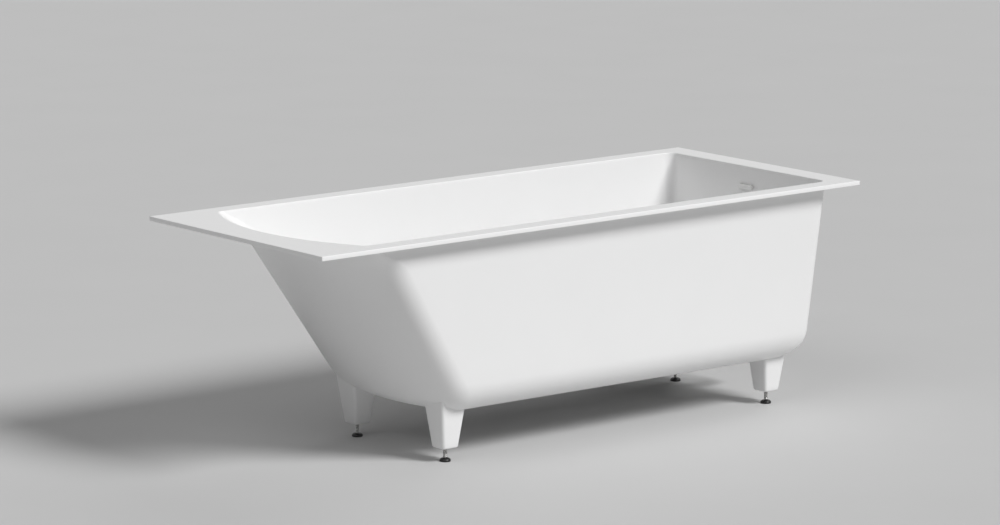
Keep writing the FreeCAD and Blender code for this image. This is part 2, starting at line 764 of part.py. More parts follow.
def overflow_flange():
    """Lip inside the basin, whose flat neck passes the wall's slot; a web carries the screw."""
    around = 2 * (overflow_cover_shell + overflow_cover_grip_clearance)
    lip = slot_prism(overflow_cover_length - around, overflow_cover_height - around,
                     0, overflow_lip_thickness)
    neck = slot_prism(overflow_neck_length, overflow_neck_height, -overflow_neck_depth, 0)
    bore_height = overflow_neck_height - 2 * overflow_neck_wall
    bore = slot_prism(overflow_neck_length - 2 * overflow_neck_wall, bore_height, -overflow_neck_depth,
                      overflow_lip_thickness)
    web = Part.makeBox(bore_height, overflow_web_width, overflow_web_depth,
                       Vector(-bore_height / 2, -overflow_web_width / 2,
                              overflow_lip_thickness - overflow_web_depth))
    screw_way = cylinder(overflow_screw_radius + thread_clearance, overflow_neck_depth,
                         Vector(0, 0, overflow_lip_thickness - overflow_neck_depth))
    frame = fused([lip, neck]).cut(bore)
    return on_foot_wall(fused([frame, web]).cut(screw_way))


def overflow_cap():
    """Slim cover that grips the flange's lip and lets the water in through its lower edge."""
    front = overflow_cover_depth
    roof = overflow_cover_roof
    shell = slot_prism(overflow_cover_length, overflow_cover_height, overflow_cover_gap, front)
    front_edges = [edge for edge in shell.Edges if edge.BoundBox.ZMin > roof]
    shell = shell.makeFillet(overflow_cover_edge_round, front_edges)
    around = 2 * overflow_cover_shell
    room = slot_prism(overflow_cover_length - around, overflow_cover_height - around, 0, roof)
    inlet = Part.makeBox(overflow_cover_height, overflow_inlet_length, roof,
                         Vector(-overflow_cover_height, -overflow_inlet_length / 2, 0))
    return on_foot_wall(shell.cut(room).cut(inlet))


def overflow_screw():
    head_bottom = overflow_lip_thickness
    tip = Vector(0, 0, head_bottom - overflow_screw_length)
    shank = cylinder(overflow_screw_radius, overflow_screw_length, tip)
    head = cylinder(overflow_screw_head_radius, overflow_screw_head_height, Vector(0, 0, head_bottom))
    slot_bottom = head_bottom + overflow_screw_head_height - overflow_screw_slot_depth
    slot = Part.makeBox(2 * overflow_screw_head_radius, overflow_screw_slot_width, overflow_screw_slot_depth,
                        Vector(-overflow_screw_head_radius, -overflow_screw_slot_width / 2, slot_bottom))
    return on_foot_wall(fused([shank, head]).cut(slot))


def overflow_gasket():
    base = Vector(0, 0, -wall - overflow_gasket_thickness)
    height = overflow_gasket_thickness - overflow_seat_gap
    return on_foot_wall(tube(overflow_gasket_radius, elbow_chamber_radius - elbow_wall, height, base))


pipe_axis_x = overflow_inner_x + overflow_pipe_offset
elbow_face = -wall - overflow_gasket_thickness
elbow_back = -overflow_pipe_offset - overflow_pipe_radius - elbow_back_clearance
socket_radius = overflow_pipe_radius + port_wall
socket_end_height = overflow_height - elbow_chamber_radius - elbow_socket_drop


def overflow_elbow():
    """Box behind the wall: mouth for the flange's neck, post for the screw, socket for the pipe."""
    flange_back = elbow_face - elbow_flange_thickness
    flange = cylinder(elbow_flange_radius, elbow_flange_thickness, Vector(0, 0, flange_back))
    chamber = cylinder(elbow_chamber_radius, elbow_face - elbow_back, Vector(0, 0, elbow_back))
    body = on_foot_wall(fused([flange, chamber]))
    socket_top = overflow_height
    socket_base = Vector(pipe_axis_x, 0, socket_end_height)
    socket = cylinder(socket_radius, socket_top - socket_end_height, socket_base)
    body = fused([body, socket])
    mouth = slot_prism(overflow_neck_length + 2 * thread_clearance,
                       overflow_neck_height + 2 * thread_clearance, flange_back, elbow_face + overrun)
    room = cylinder(elbow_chamber_radius - elbow_wall, flange_back - elbow_back - elbow_wall,
                    Vector(0, 0, elbow_back + elbow_wall))
    hollow = on_foot_wall(fused([mouth, room]))
    way = cylinder(overflow_pipe_radius - pipe_wall, socket_top - socket_end_height, socket_base)
    seat = cylinder(overflow_pipe_radius + pipe_clearance, pipe_socket_depth, socket_base)
    body = body.cut(fused([hollow, way, seat]))
    post = cylinder(elbow_post_radius, overflow_pipe_offset - elbow_back_clearance, Vector(0, 0, elbow_back))
    screw_tip = overflow_lip_thickness - overflow_screw_length
    screw_room = cylinder(overflow_screw_radius + thread_clearance, overflow_screw_length,
                          Vector(0, 0, screw_tip - thread_radius))
    return fused([body, on_foot_wall(post)]).cut(on_foot_wall(screw_room))


def overflow_pipe():
    """One rigid tube: down behind the foot wall, round one bend, and along under the basin."""
    radius = overflow_pipe_radius
    top = socket_end_height + pipe_socket_depth - pipe_stop_gap
    bend_height = inlet_axis_height + overflow_bend_radius
    bend_x = pipe_axis_x - overflow_bend_radius
    end_x = inlet_end_x - pipe_socket_depth + pipe_stop_gap
    mid = overflow_bend_radius * math.sqrt(0.5)
    path = Part.Wire([
        Part.makeLine(Vector(pipe_axis_x, 0, top), Vector(pipe_axis_x, 0, bend_height)),
        arc(Vector(pipe_axis_x, 0, bend_height), Vector(bend_x + mid, 0, bend_height - mid),
            Vector(bend_x, 0, inlet_axis_height)),
        Part.makeLine(Vector(bend_x, 0, inlet_axis_height), Vector(end_x, 0, inlet_axis_height)),
    ])

    def swept(section_radius):
        circle = Part.makeCircle(section_radius, Vector(pipe_axis_x, 0, top), downwards)
        return path.makePipeShell([Part.Wire([circle])], True, False)

    return swept(radius).cut(swept(radius - pipe_wall))


leg_places = {
    "head_front": (head_leg_x, -leg_y),
    "head_back": (head_leg_x, leg_y),
    "foot_front": (foot_leg_x, -leg_y),
    "foot_back": (foot_leg_x, leg_y),
}

save("tub_shell", tub_shell())
sleeves = []
for place, (leg_x, leg_centre_y) in leg_places.items():
    save("leg_" + place, leg(leg_x, leg_centre_y))
    save("foot_stud_" + place, foot_stud(leg_x, leg_centre_y))
    save("foot_pad_" + place, foot_pad(leg_x, leg_centre_y))
    sleeves.append(leg_sleeve(leg_x, leg_centre_y))
save("leg_sleeves", Part.makeCompound(sleeves))
save("waste_flange", waste_flange())
save("waste_flange_seal", waste_flange_seal())
save("waste_body_seal", waste_body_seal())
save("plug_cap", plug_cap())
save("plug_seal", plug_seal())
save("click_cartridge", click_cartridge())
save("waste_body", waste_body())
nut_setback = nut_length - nut_end_wall
save("overflow_pipe_nut_low", union_nut(overflow_pipe_radius, inlet_port_radius,
                                        inlet_end - towards_foot * nut_setback, towards_foot))
save("trap_inlet_nut", union_nut(waste_pipe_radius, outlet_port_radius,
                                 outlet_end - towards_back * nut_setback, towards_back))
save("trap_body", trap_body())
save("trap_cup", trap_cup())
save("trap_seal", trap_seal())
save("trap_outlet_nut", union_nut(waste_pipe_radius, outlet_port_radius,
                                  Vector(drain_x, trap_port_end_y - nut_setback, outlet_axis_height),
                                  towards_back))
save("waste_pipe", waste_pipe())
save("overflow_flange", overflow_flange())
save("overflow_cap", overflow_cap())
save("overflow_screw", overflow_screw())
save("overflow_gasket", overflow_gasket())
save("overflow_elbow", overflow_elbow())
save("overflow_pipe_nut_top", union_nut(overflow_pipe_radius, socket_radius,
                                        Vector(pipe_axis_x, 0, socket_end_height + nut_setback), downwards))
save("overflow_pipe", overflow_pipe())
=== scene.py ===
# %% [markdown]
# # A bathtub of cast mineral resin
# The CAD model gives every piece its size and place. This notebook dresses it: the cast tub and its legs
# become smooth skins, the levelling feet get real threads, the fittings get lacquer, chrome, brass and
# rubber, and a soft studio light stands around it all. Everything is in metres, +Z up, and the tub's head
# end is at -X.

# %% The frame that everything is fitted to
import math

import bmesh
import bpy
from mathutils import Matrix, Vector
from mathutils.bvhtree import BVHTree


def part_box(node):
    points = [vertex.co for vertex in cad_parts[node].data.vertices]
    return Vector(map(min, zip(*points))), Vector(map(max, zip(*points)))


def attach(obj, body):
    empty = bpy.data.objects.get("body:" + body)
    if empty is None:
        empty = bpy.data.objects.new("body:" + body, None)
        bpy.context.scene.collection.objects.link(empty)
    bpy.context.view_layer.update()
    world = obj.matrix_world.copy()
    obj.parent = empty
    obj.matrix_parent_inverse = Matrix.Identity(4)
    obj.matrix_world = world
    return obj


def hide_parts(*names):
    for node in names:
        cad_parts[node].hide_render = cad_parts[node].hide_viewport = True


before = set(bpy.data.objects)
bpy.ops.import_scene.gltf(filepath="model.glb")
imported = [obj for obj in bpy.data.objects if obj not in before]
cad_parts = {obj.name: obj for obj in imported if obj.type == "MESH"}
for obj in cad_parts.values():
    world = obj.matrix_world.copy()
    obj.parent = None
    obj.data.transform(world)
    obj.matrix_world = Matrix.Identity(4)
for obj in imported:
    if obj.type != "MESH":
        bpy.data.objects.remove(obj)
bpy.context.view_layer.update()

mm = 0.001

# %% [markdown]
# ## Colours and nodes
# Paint and plastic colours are easiest to choose as the hex values of a colour picker. Those are sRGB,
# while a shader wants linear light, so one function turns them. A second one adds a node with its
# settings and links. On every finish here noise drives the same three things, colour, roughness and
# bump, so a third function holds that part, and each material only says what its noise looks like.

# %% Colours
def linear(hex_colour):
    """Linear RGBA of an sRGB hex colour, by the sRGB curve."""
    channels = [int(hex_colour[start:start + 2], 16) / 255 for start in (1, 3, 5)]
    bent = [c / 12.92 if c <= 0.04045 else ((c + 0.055) / 1.055) ** 2.4 for c in channels]
    return bent + [1.0]


print("mid grey #808080 in linear light is", round(linear("#808080")[0], 3))


# %% Adding a node
def add(tree, kind, inputs=None, **settings):
    """Add one node: inputs are values or the outputs to link from, settings are its properties."""
    node = tree.nodes.new(kind)
    for name, value in settings.items():
        setattr(node, name, value)
    for name, value in (inputs or {}).items():
        if isinstance(value, bpy.types.NodeSocket):
            tree.links.new(value, node.inputs[name])
        else:
            node.inputs[name].default_value = value
    return node


def start_material(name, constants):
    """Make a material with one Principled shader, and hand out its tree, shader and coordinates."""
    material = bpy.data.materials.new(name)
    material.use_nodes = True
    tree = material.node_tree
    tree.nodes.clear()
    shader = add(tree, "ShaderNodeBsdfPrincipled", constants)
    add(tree, "ShaderNodeOutputMaterial", {"Surface": shader.outputs[0]})
    coords = add(tree, "ShaderNodeTexCoord").outputs["Object"]
    return material, tree, shader, coords


def per_metre(size_mm):
    """Texture scale of noise whose blots are this many millimetres across."""
    return 1 / (size_mm * mm)


print("noise with blots of 2 mm has the scale", per_metre(2.0))


# %% What noise does to a finish
def surface(tree, shader, tone_by, colours, gloss_by, roughness, bump_by, strength, depth_mm):
    """Let noise nodes drive a shader's colour and roughness between two values each, and its bump."""
    tone = add(tree, "ShaderNodeMix", {0: tone_by.outputs["Fac"], 6: linear(colours[0]),
                                       7: linear(colours[1])}, data_type="RGBA")
    gloss = add(tree, "ShaderNodeMapRange", {"Value": gloss_by.outputs["Fac"], "To Min": roughness[0],
                                             "To Max": roughness[1]})
    bump = add(tree, "ShaderNodeBump", {"Height": bump_by.outputs["Fac"], "Strength": strength,
                                        "Distance": depth_mm * mm})
    tree.links.new(tone.outputs[2], shader.inputs["Base Color"])
    tree.links.new(gloss.outputs[0], shader.inputs["Roughness"])
    tree.links.new(bump.outputs[0], shader.inputs["Normal"])


# %% [markdown]
# ## Gel-coated casting
# The tub and its legs are cast from resin filled with ground mineral, and the mould's gel coat gives
# them a satin white skin. To the eye it is almost plain, so the detail is slight: a cloudy change of
# tone some 20 cm wide, a gloss that varies a little, and an orange-peel bump about a millimetre across.
# A photographed texture would need a UV map and would show its repeats on so large a piece, so noise on
# object coordinates makes all three. The real orange peel is finer than a pixel in most views; it is
# drawn at 1.5 mm so that it still breaks up the highlights.

# %% Casting material
def casting(name, colours, roughness, cloud_mm, peel_mm, depth_mm):
    """Satin white coat: wide clouds of tone and gloss, and a fine orange peel."""
    material, tree, shader, coords = start_material(name, {"IOR": 1.5})
    cloud = add(tree, "ShaderNodeTexNoise", {"Vector": coords, "Scale": per_metre(cloud_mm), "Detail": 3.0})
    peel = add(tree, "ShaderNodeTexNoise", {"Vector": coords, "Scale": per_metre(peel_mm), "Detail": 2.0})
    surface(tree, shader, cloud, colours, cloud, roughness, peel, strength=0.25, depth_mm=depth_mm)
    return material


gelcoat_white = casting("gelcoat_white", ("#F2F2F2", "#EFEFEF"), (0.3, 0.4), cloud_mm=200.0,
                        peel_mm=1.5, depth_mm=0.02)
print("material", gelcoat_white.name)

# %% [markdown]
# ## Metals
# All the metals share one recipe: full metallic, the colour of the bare or plated metal, and a fine
# noise that makes the gloss uneven. On turned parts the noise is pressed flat along Z, the axis they
# were turned on, so it runs around them in short streaks like the rings that a lathe leaves. Streaks
# 0.6 mm long and 0.15 mm apart are what a fine cut leaves, and they show only in a close view.
# Anisotropic shading could draw such rings too, but it needs a tangent on every piece.

# %% Metal materials
def metal(name, colours, roughness, mark_mm, depth_mm, flatten=1.0):
    """Metal with marks this wide and deep, pressed flat along Z by a factor."""
    material, tree, shader, coords = start_material(name, {"Metallic": 1.0})
    pressed = add(tree, "ShaderNodeMapping", {"Vector": coords, "Scale": (1.0, 1.0, flatten)})
    marks = add(tree, "ShaderNodeTexNoise", {"Vector": pressed.outputs[0], "Scale": per_metre(mark_mm),
                                             "Detail": 4.0})
    surface(tree, shader, marks, colours, marks, roughness, marks, strength=0.3, depth_mm=depth_mm)
    return material


# Bright zinc plating: neutral grey, satin, with a faint cloudiness
bright_zinc = metal("bright_zinc", ("#CDCDCC", "#B4B4B3"), (0.2, 0.34), mark_mm=2.0, depth_mm=0.01)
# Polished chrome plating: almost white, mirror-like
polished_chrome = metal("polished_chrome", ("#DDDEE1", "#D2D4D8"), (0.05, 0.11), mark_mm=25.0,
                        depth_mm=0.002)
# Turned brass: yellow, with streaks left by the lathe
turned_brass = metal("turned_brass", ("#C9A869", "#B08C4C"), (0.2, 0.34), mark_mm=0.6, depth_mm=0.01,
                     flatten=4.0)
# Turned stainless steel: warm grey, a little duller than zinc, with the same streaks
turned_stainless = metal("turned_stainless", ("#BFBDB9", "#A6A4A0"), (0.24, 0.4), mark_mm=0.6,
                         depth_mm=0.01, flatten=4.0)
print("metals", bright_zinc.name, polished_chrome.name, turned_brass.name, turned_stainless.name)

# %% [markdown]
# ## Lacquer, plastics and rubber
# These are all mouldings or coats with no grain of their own. What tells them apart is how wet they
# look: lacquer is smooth and glossy, the black pads are satin, so a lamp leaves a broad soft highlight
# on them, polypropylene fittings have the dull, finely pitted skin of a spark-eroded mould, and seals
# are matt black. Real pits are finer than a tenth of a millimetre. They are drawn 0.4 to 1 mm wide, so
# that a close view shows them, and the tone drifts on a scale twenty times as wide. One function makes
# them all, because only its numbers differ from one finish to the next.

# %% Moulded materials
tone_spread = 20.0


def moulded(name, colours, roughness, pit_mm, depth_mm, ior=1.5):
    """Lacquer, plastic or rubber: fine pits, and a slow drift of tone."""
    material, tree, shader, coords = start_material(name, {"IOR": ior})
    pits = add(tree, "ShaderNodeTexNoise", {"Vector": coords, "Scale": per_metre(pit_mm), "Detail": 3.0})
    drift = add(tree, "ShaderNodeTexNoise", {"Vector": coords, "Scale": per_metre(tone_spread * pit_mm),
                                             "Detail": 2.0})
    surface(tree, shader, drift, colours, pits, roughness, pits, strength=0.4, depth_mm=depth_mm)
    return material


# White gloss lacquer over brass, as on the overflow cover and the plug: smooth, with sharp highlights
white_lacquer = moulded("white_lacquer", ("#F1F1F0", "#EDEDEC"), (0.12, 0.18), pit_mm=1.0, depth_mm=0.003)
# Satin black moulding of the foot pads: nearly black, with a broad soft highlight
black_moulding = moulded("black_moulding", ("#060606", "#090909"), (0.36, 0.42), pit_mm=0.8,
                         depth_mm=0.004)
# White polypropylene of the waste and overflow: a dull, slightly yellow white
white_polypropylene = moulded("white_polypropylene", ("#E2E1DC", "#D8D7D2"), (0.42, 0.58), pit_mm=0.5,
                              depth_mm=0.02, ior=1.49)
# Grey polypropylene of the union nuts and the trap's cup: the same skin in a cool mid grey
grey_polypropylene = moulded("grey_polypropylene", ("#8E9194", "#7F8285"), (0.42, 0.58), pit_mm=0.5,
                             depth_mm=0.02, ior=1.49)
# Black elastomer of the seals: matt and dark grey rather than black
seal_rubber = moulded("seal_rubber", ("#1E1E1F", "#262627"), (0.7, 0.85), pit_mm=0.4, depth_mm=0.03,
                      ior=1.52)
print("mouldings", white_lacquer.name, black_moulding.name, white_polypropylene.name,
      grey_polypropylene.name, seal_rubber.name)

# %% [markdown]
# ## Building meshes
# Three ways of making a mesh cover almost every piece. A skin joins loops of points that all have the
# same count. A turned piece spins a half section about an axis. A smooth copy takes a CAD node, whose
# mesh is loose triangles, joins its points and shades it smooth between its sharp edges. Grip ribs and
# the bent pipe come later from Geometry Nodes, and settle() keeps what they made as a plain mesh.

# %% Mesh helpers
join_distance = 1e-6


def put_in_scene(name, data):
    """Wrap a mesh, lamp or camera in an object at the origin."""
    made = bpy.data.objects.new(name, data)
    bpy.context.collection.objects.link(made)
    return made


def build(name, vertices, faces, material, sharp_deg=35.0):
    """Make an object from points in millimetres: joined, facing outwards, smooth between sharp edges."""
    mesh = bpy.data.meshes.new(name)
    mesh.from_pydata([Vector(v) * mm for v in vertices], [], faces)
    join(mesh, sharp_deg)
    mesh.materials.append(material)
    return put_in_scene(name, mesh)


def join(mesh, sharp_deg):
    """Merge points that coincide, turn the faces outwards and shade them smooth up to this angle."""
    work = bmesh.new()
    work.from_mesh(mesh)
    bmesh.ops.remove_doubles(work, verts=work.verts, dist=join_distance)
    bmesh.ops.dissolve_degenerate(work, edges=work.edges, dist=join_distance)
    bmesh.ops.delete(work, geom=[edge for edge in work.edges if edge.is_wire], context="EDGES")
    bmesh.ops.recalc_face_normals(work, faces=work.faces)
    work.to_mesh(mesh)
    work.free()
    mesh.polygons.foreach_set("use_smooth", [True] * len(mesh.polygons))
    mesh.set_sharp_from_angle(angle=math.radians(sharp_deg))


print("pieces are joined at", join_distance, "m")


# %% Finishing a piece
def settle(made, sharp_deg=35.0):
    """Keep what an object's modifiers made of it as its plain mesh."""
    bpy.context.view_layer.update()
    result = bpy.data.meshes.new_from_object(made.evaluated_get(bpy.context.evaluated_depsgraph_get()))
    made.modifiers.clear()
    made.data = result
    join(result, sharp_deg)


def fit(made, slot, body, *nodes):
    """Let a finished piece stand for its CAD nodes and ride on their body."""
    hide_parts(*nodes)
    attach(made, body)
    print(made.name, "for", ", ".join(nodes), "-", len(made.data.polygons), "faces")
    return made


# %% Skins from loops
def loft(loops, ring=False):
    """Quads between loops of equal length, with a face on each end unless the loops make a ring."""
    count = len(loops[0])
    vertices = [point for loop in loops for point in loop]
    faces = []
    spans = len(loops) if ring else len(loops) - 1
    for row in range(spans):
        low, high = row * count, (row + 1) % len(loops) * count
        for k in range(count):
            n = (k + 1) % count
            faces.append((low + k, low + n, high + n, high + k))
    if not ring:
        faces.append(tuple(reversed(range(count))))
        faces.append(tuple(range(len(vertices) - count, len(vertices))))
    return vertices, faces


def merge(*parts):
    """Several (vertices, faces) pairs as one."""
    vertices, faces = [], []
    for part_vertices, part_faces in parts:
        faces += [tuple(index + len(vertices) for index in face) for face in part_faces]
        vertices += part_vertices
    return vertices, faces


print("a box from two loops of four:", len(loft([[0] * 4] * 2)[1]), "faces")


# %% Arcs and curves
def curve(first, middle, last, t):
    """Point t along the curve that leaves first heading for middle and reaches last coming from it."""
    return first * (1 - t) ** 2 + middle * 2 * t * (1 - t) + last * t ** 2


def around(radius, height, angle, x=0.0, y=0.0):
    """Point at this radius, height and angle about the upright axis through x and y."""
    return Vector((x + radius * math.cos(angle), y + radius * math.sin(angle), height))


def quarter(steps):
    """Angles from zero to a quarter turn in equal steps, both ends included."""
    return [math.pi / 2 * k / steps for k in range(steps + 1)]


print("a quarter turn in three steps:", [round(angle, 2) for angle in quarter(3)])

# %% Turned pieces
straight_enough = 0.05


def soften(section, radius, steps=3, most=0.4):
    """Round the corners of a closed half section that are off the axis, none past a share of its edges."""
    out = []
    for index, point in enumerate(section):
        before, after = section[index - 1], section[(index + 1) % len(section)]
        here = Vector(point)
        back, on = Vector(before) - here, Vector(after) - here
        reach = min(radius, most * back.length, most * on.length)
        if point[0] == 0 or reach == 0 or abs(back.angle(on) - math.pi) < straight_enough:
            out.append(point)
            continue
        first, last = here + back.normalized() * reach, here + on.normalized() * reach
        out += [tuple(curve(first, here, last, step / steps)) for step in range(steps + 1)]
    return out


def turned(section, segments=96, place=Matrix.Identity(4)):
    """Spin a closed half section of (radius, height) pairs about Z, then move it by a matrix."""
    turns = [2 * math.pi * k / segments for k in range(segments)]
    return loft([[place @ around(radius, height, turn) for turn in turns]
                 for radius, height in section], ring=True)


print("a turned triangle:", len(turned([(1, 0), (2, 0), (1, 1)])[1]), "faces")


# %% Smooth copies
def smooth_copy(node, material, slot, body="tub", sharp_deg=32.0):
    """Stand a joined, smooth-shaded copy in for a CAD node whose form is already right."""
    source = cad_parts[node].data
    made = build(node + "_skin", [v.co / mm for v in source.vertices],
                 [tuple(p.vertices) for p in source.polygons], material, sharp_deg)
    return fit(made, slot, body, node)


print("CAD nodes to dress:", len(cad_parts))

# %% [markdown]
# ## The shape of the basin
# Every level section of the basin is the same kind of outline: a straight foot end, two straight sides,
# four rounded corners and a head end bent to a wide arc. The outline shrinks on its way down because the
# walls lean, and it shrinks faster near the floor, where the walls bend into it on a radius of 88 mm.
# At the head end the wall first rolls outwards to the rim. Pulled from a box under Subdivision Surface,
# the basin would only come near these angles and radii. Here a formula gives each outline, so the whole
# skin is a stack of loops, and as many loops as we like can be taken through each bend.

# %% Sizes of the casting, in millimetres
rim_low, rim_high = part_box("tub_shell")
rim_length = (rim_high.x - rim_low.x) / mm
rim_width = (rim_high.y - rim_low.y) / mm
rim_top = rim_high.z / mm
rim_thickness, rim_round = 11.0, 1.2
rim_bottom = rim_top - rim_thickness
wall, floor_thickness, underside = 7.0, 10.0, 122.4
wall_drop = rim_bottom - underside
fall_deg = 0.35
fall = math.radians(fall_deg)
# How far each wall starts in from the rim's edge, and how much further in it is at the bottom
head_setback, head_reach = 130.0, 309.0
foot_setback, foot_reach = 62.0, 25.0
side_setback, side_reach = 45.0, 46.0
opening_setback = 85.0
head_top_x = -rim_length / 2 + head_setback
head_low_x = head_top_x + head_reach
foot_top_x = rim_length / 2 - foot_setback
foot_low_x = foot_top_x - foot_reach
side_top_y = rim_width / 2 - side_setback
side_low_y = side_top_y - side_reach
opening_head_x = -rim_length / 2 + opening_setback
bottom_round, smallest_corner, opening_roll = 88.0, 24.0, 2.5
flare_depth, flare_knee, flare_corner = 62.0, 32.0, 32.0
head_corner, foot_corner_top, foot_corner_low = 72.0, 33.0, 30.0
arc_rise_top, arc_rise_low = 80.0, 58.0
print("rim", round(rim_length, 1), "x", round(rim_width, 1), "mm, top at", round(rim_top, 1))

# %% Points of an outline
foot_steps, foot_corner_steps, side_steps, head_corner_steps, head_steps = 10, 12, 30, 18, 24
half_steps = foot_steps + foot_corner_steps + side_steps + head_corner_steps + head_steps


def mix(first, last, share):
    """The value this share of the way from the first to the last."""
    return first + (last - first) * share


def mirrored(half):
    """Close a half loop, given from the foot's middle to the head's, by its mirror image in Y."""
    other = [(p * Vector((1, -1, 1)), n * Vector((1, -1, 1))) for p, n in half[-2:0:-1]]
    return half + other


print("points in an outline:", 2 * half_steps)


# %% One level outline
def outline(head_x, foot_x, half_width, rise, head_round, foot_round, height):
    """Loop of (point, outward direction) pairs at one level."""
    arc_radius = (half_width ** 2 + rise ** 2) / (2 * rise)
    arc_x = head_x + arc_radius
    corner_y = half_width - head_round
    corner_x = arc_x - math.sqrt((arc_radius - head_round) ** 2 - corner_y ** 2)
    turn = math.atan2(corner_y, arc_x - corner_x)
    foot_side_x, foot_side_y = foot_x - foot_round, half_width - foot_round
    half = []

    def put(x, y, angle):
        half.append((Vector((x, y, height)), around(1, 0, angle)))

    def bend(centre_x, centre_y, radius, first, last, steps, extra=0):
        for k in range(steps + extra):
            angle = mix(first, last, k / steps)
            put(centre_x + radius * math.cos(angle), centre_y + radius * math.sin(angle), angle)

    for k in range(foot_steps):
        put(foot_x, foot_side_y * k / foot_steps, 0)
    bend(foot_side_x, foot_side_y, foot_round, 0, math.pi / 2, foot_corner_steps)
    for k in range(side_steps):
        put(mix(foot_side_x, corner_x, k / side_steps), half_width, math.pi / 2)
    bend(corner_x, corner_y, head_round, math.pi / 2, math.pi - turn, head_corner_steps)
    bend(arc_x, 0, arc_radius, math.pi - turn, math.pi, head_steps, extra=1)
    return mirrored(half)


# %% How the walls lean and bend
head_lean = (head_low_x - head_top_x) / wall_drop
foot_lean = (foot_top_x - foot_low_x) / wall_drop
side_lean = (side_top_y - side_low_y) / wall_drop


def inward(above, radius, lean):
    """How far a wall has moved in at a height above the plane that its bottom bend runs into."""
    angle = math.atan(lean)
    tangent = radius * (1 - math.sin(angle))
    if above >= tangent:
        return -above * lean
    return tangent / math.cos(angle) - radius * math.cos(math.asin(1 - above / radius))


print("walls lean, in degrees:", [round(math.degrees(math.atan(lean)), 1)
                                  for lean in (head_lean, foot_lean, side_lean)])


# %% One level of a skin
def level(height, inset, bottom, head_x=None, corner=None):
    """The skin's outline at one height, tilted with the floor's fall the further down it is."""
    share = (rim_bottom - height) / wall_drop
    radius, above, lift = bottom_round - inset, height - bottom, bottom - underside
    thick = [inset * math.hypot(1, lean) for lean in (head_lean, foot_lean, side_lean)]
    head_low = head_low_x - head_lean * lift + thick[0]
    foot_low = foot_low_x + foot_lean * lift - thick[1]
    side_low = side_low_y + side_lean * lift - thick[2]
    side_in = inward(above, radius, side_lean)
    rounded_in = side_in + above * side_lean
    half_width = side_low - side_in
    if head_x is None:
        head_x = head_low + inward(above, radius, head_lean)
    if corner is None:
        corner = head_corner - inset
    foot_x = foot_low - inward(above, radius, foot_lean)
    foot_round = mix(foot_corner_top, foot_corner_low, share) - inset
    least = smallest_corner - inset
    rise = mix(arc_rise_top, arc_rise_low, share) * half_width / (half_width + rounded_in)
    loop = outline(head_x, foot_x, half_width, rise, max(corner - rounded_in, least),
                   max(foot_round - rounded_in, least), height)
    tilt = Matrix.Rotation(fall * max(share, 0), 4, "Y")
    centre = Vector((0, 0, height))
    return [(centre + tilt @ (p - centre), tilt @ n) for p, n in loop]


half_way = level(mix(underside, rim_bottom, 0.5), 0.0, underside)
print("width of the hull half way up:", round(2 * max(point.y for point, _ in half_way)), "mm")


# %% The stack of outlines
def skin_levels(top, inset, bottom, top_head_x, flare_steps=10, wall_steps=8, bend_steps=16):
    """All the loops of one skin, from the rim down to the flat of the floor."""
    flare_end = rim_bottom - flare_depth
    end_x = head_top_x + head_lean * flare_depth + inset * math.hypot(1, head_lean)
    knee, knee_x = flare_end + flare_knee, end_x - head_lean * flare_knee
    loops = []
    for k in range(flare_steps):
        t = k / flare_steps
        height, head_x = curve(top, knee, flare_end, t), curve(top_head_x, knee_x, end_x, t)
        loops.append(level(height, inset, bottom, head_x, mix(flare_corner, head_corner, t) - inset))
    radius, start = bottom_round - inset, math.atan(side_lean)
    bend_top = bottom + radius * (1 - math.sin(start))
    for k in range(wall_steps):
        loops.append(level(mix(flare_end, bend_top, k / wall_steps), inset, bottom))
    for k in range(bend_steps + 1):
        angle = mix(start, math.pi / 2, k / bend_steps)
        loops.append(level(bottom + radius * (1 - math.sin(angle)), inset, bottom))
    return loops


outer_levels = skin_levels(rim_bottom, 0.0, underside, opening_head_x + wall / 2)
inner_levels = skin_levels(rim_top, wall, underside + floor_thickness, opening_head_x)
print("skins", len(outer_levels), "and", len(inner_levels), "loops of", len(inner_levels[0]), "points")

# %% [markdown]
# ## The cast tub
# The casting is one closed surface, so its loops make one ring: from the waste hole out under the floor,
# up the outside, round the thin rim, down the inside and back to the hole. Solidify could give a single
# skin its wall, but rim, walls and floor differ in thickness, so both skins are lofted. Where a flat meets
# a bend, one extra loop close by keeps the shading of the flat calm. The overflow hole is cut afterwards,
# square to the foot wall, with a Boolean.

# %% Loops round the rim
support, edge_steps = 0.6, 4
sharp_corner, straight_rise = 0.001, 0.01


def points(loop, outwards=0.0):
    """The points of a loop, moved outwards along it by a distance."""
    return [p + n * outwards for p, n in loop]


def rim_loop(inset, height):
    """The rim's rectangle: the basin's outline with a head end that is all but straight."""
    corner = max(rim_round - inset, sharp_corner)
    return points(outline(-rim_length / 2 + inset, rim_length / 2 - inset, rim_width / 2 - inset,
                          straight_rise, corner, corner, height))


print("corner of the rim:", [round(c, 1) for c in max(rim_loop(0, rim_top), key=lambda p: p.x + p.y)])

# %% Loops round the waste
drain_setback = 183.0
drain_x = foot_low_x - drain_setback
drain_hole, recess_radius, recess_depth = 26.0, 37.0, 3.0
spot_radius, spot_depth = 43.0, 0.8
floor_support, drain_support = 4.0, 20.0


def floor_height(x, bottom):
    """Height at x of a floor that falls towards the waste."""
    return bottom - math.tan(fall) * x


def drain_loop(radius, height=None, bottom=None):
    """Circle about the waste, level at a height or lying in the plane of the floor."""
    half = []
    for k in range(half_steps + 1):
        angle = math.pi * k / half_steps
        x, y = drain_x + radius * math.cos(angle), radius * math.sin(angle)
        z = height if bottom is None else floor_height(x, bottom)
        half.append((Vector((x, y, z)), Vector((1, 0, 0))))
    return points(mirrored(half))


def between(first, last, share):
    """The loop this share of the way from one loop to another."""
    return [mix(a, b, share) for a, b in zip(first, last)]


print("waste at x", round(drain_x, 1), "mm")


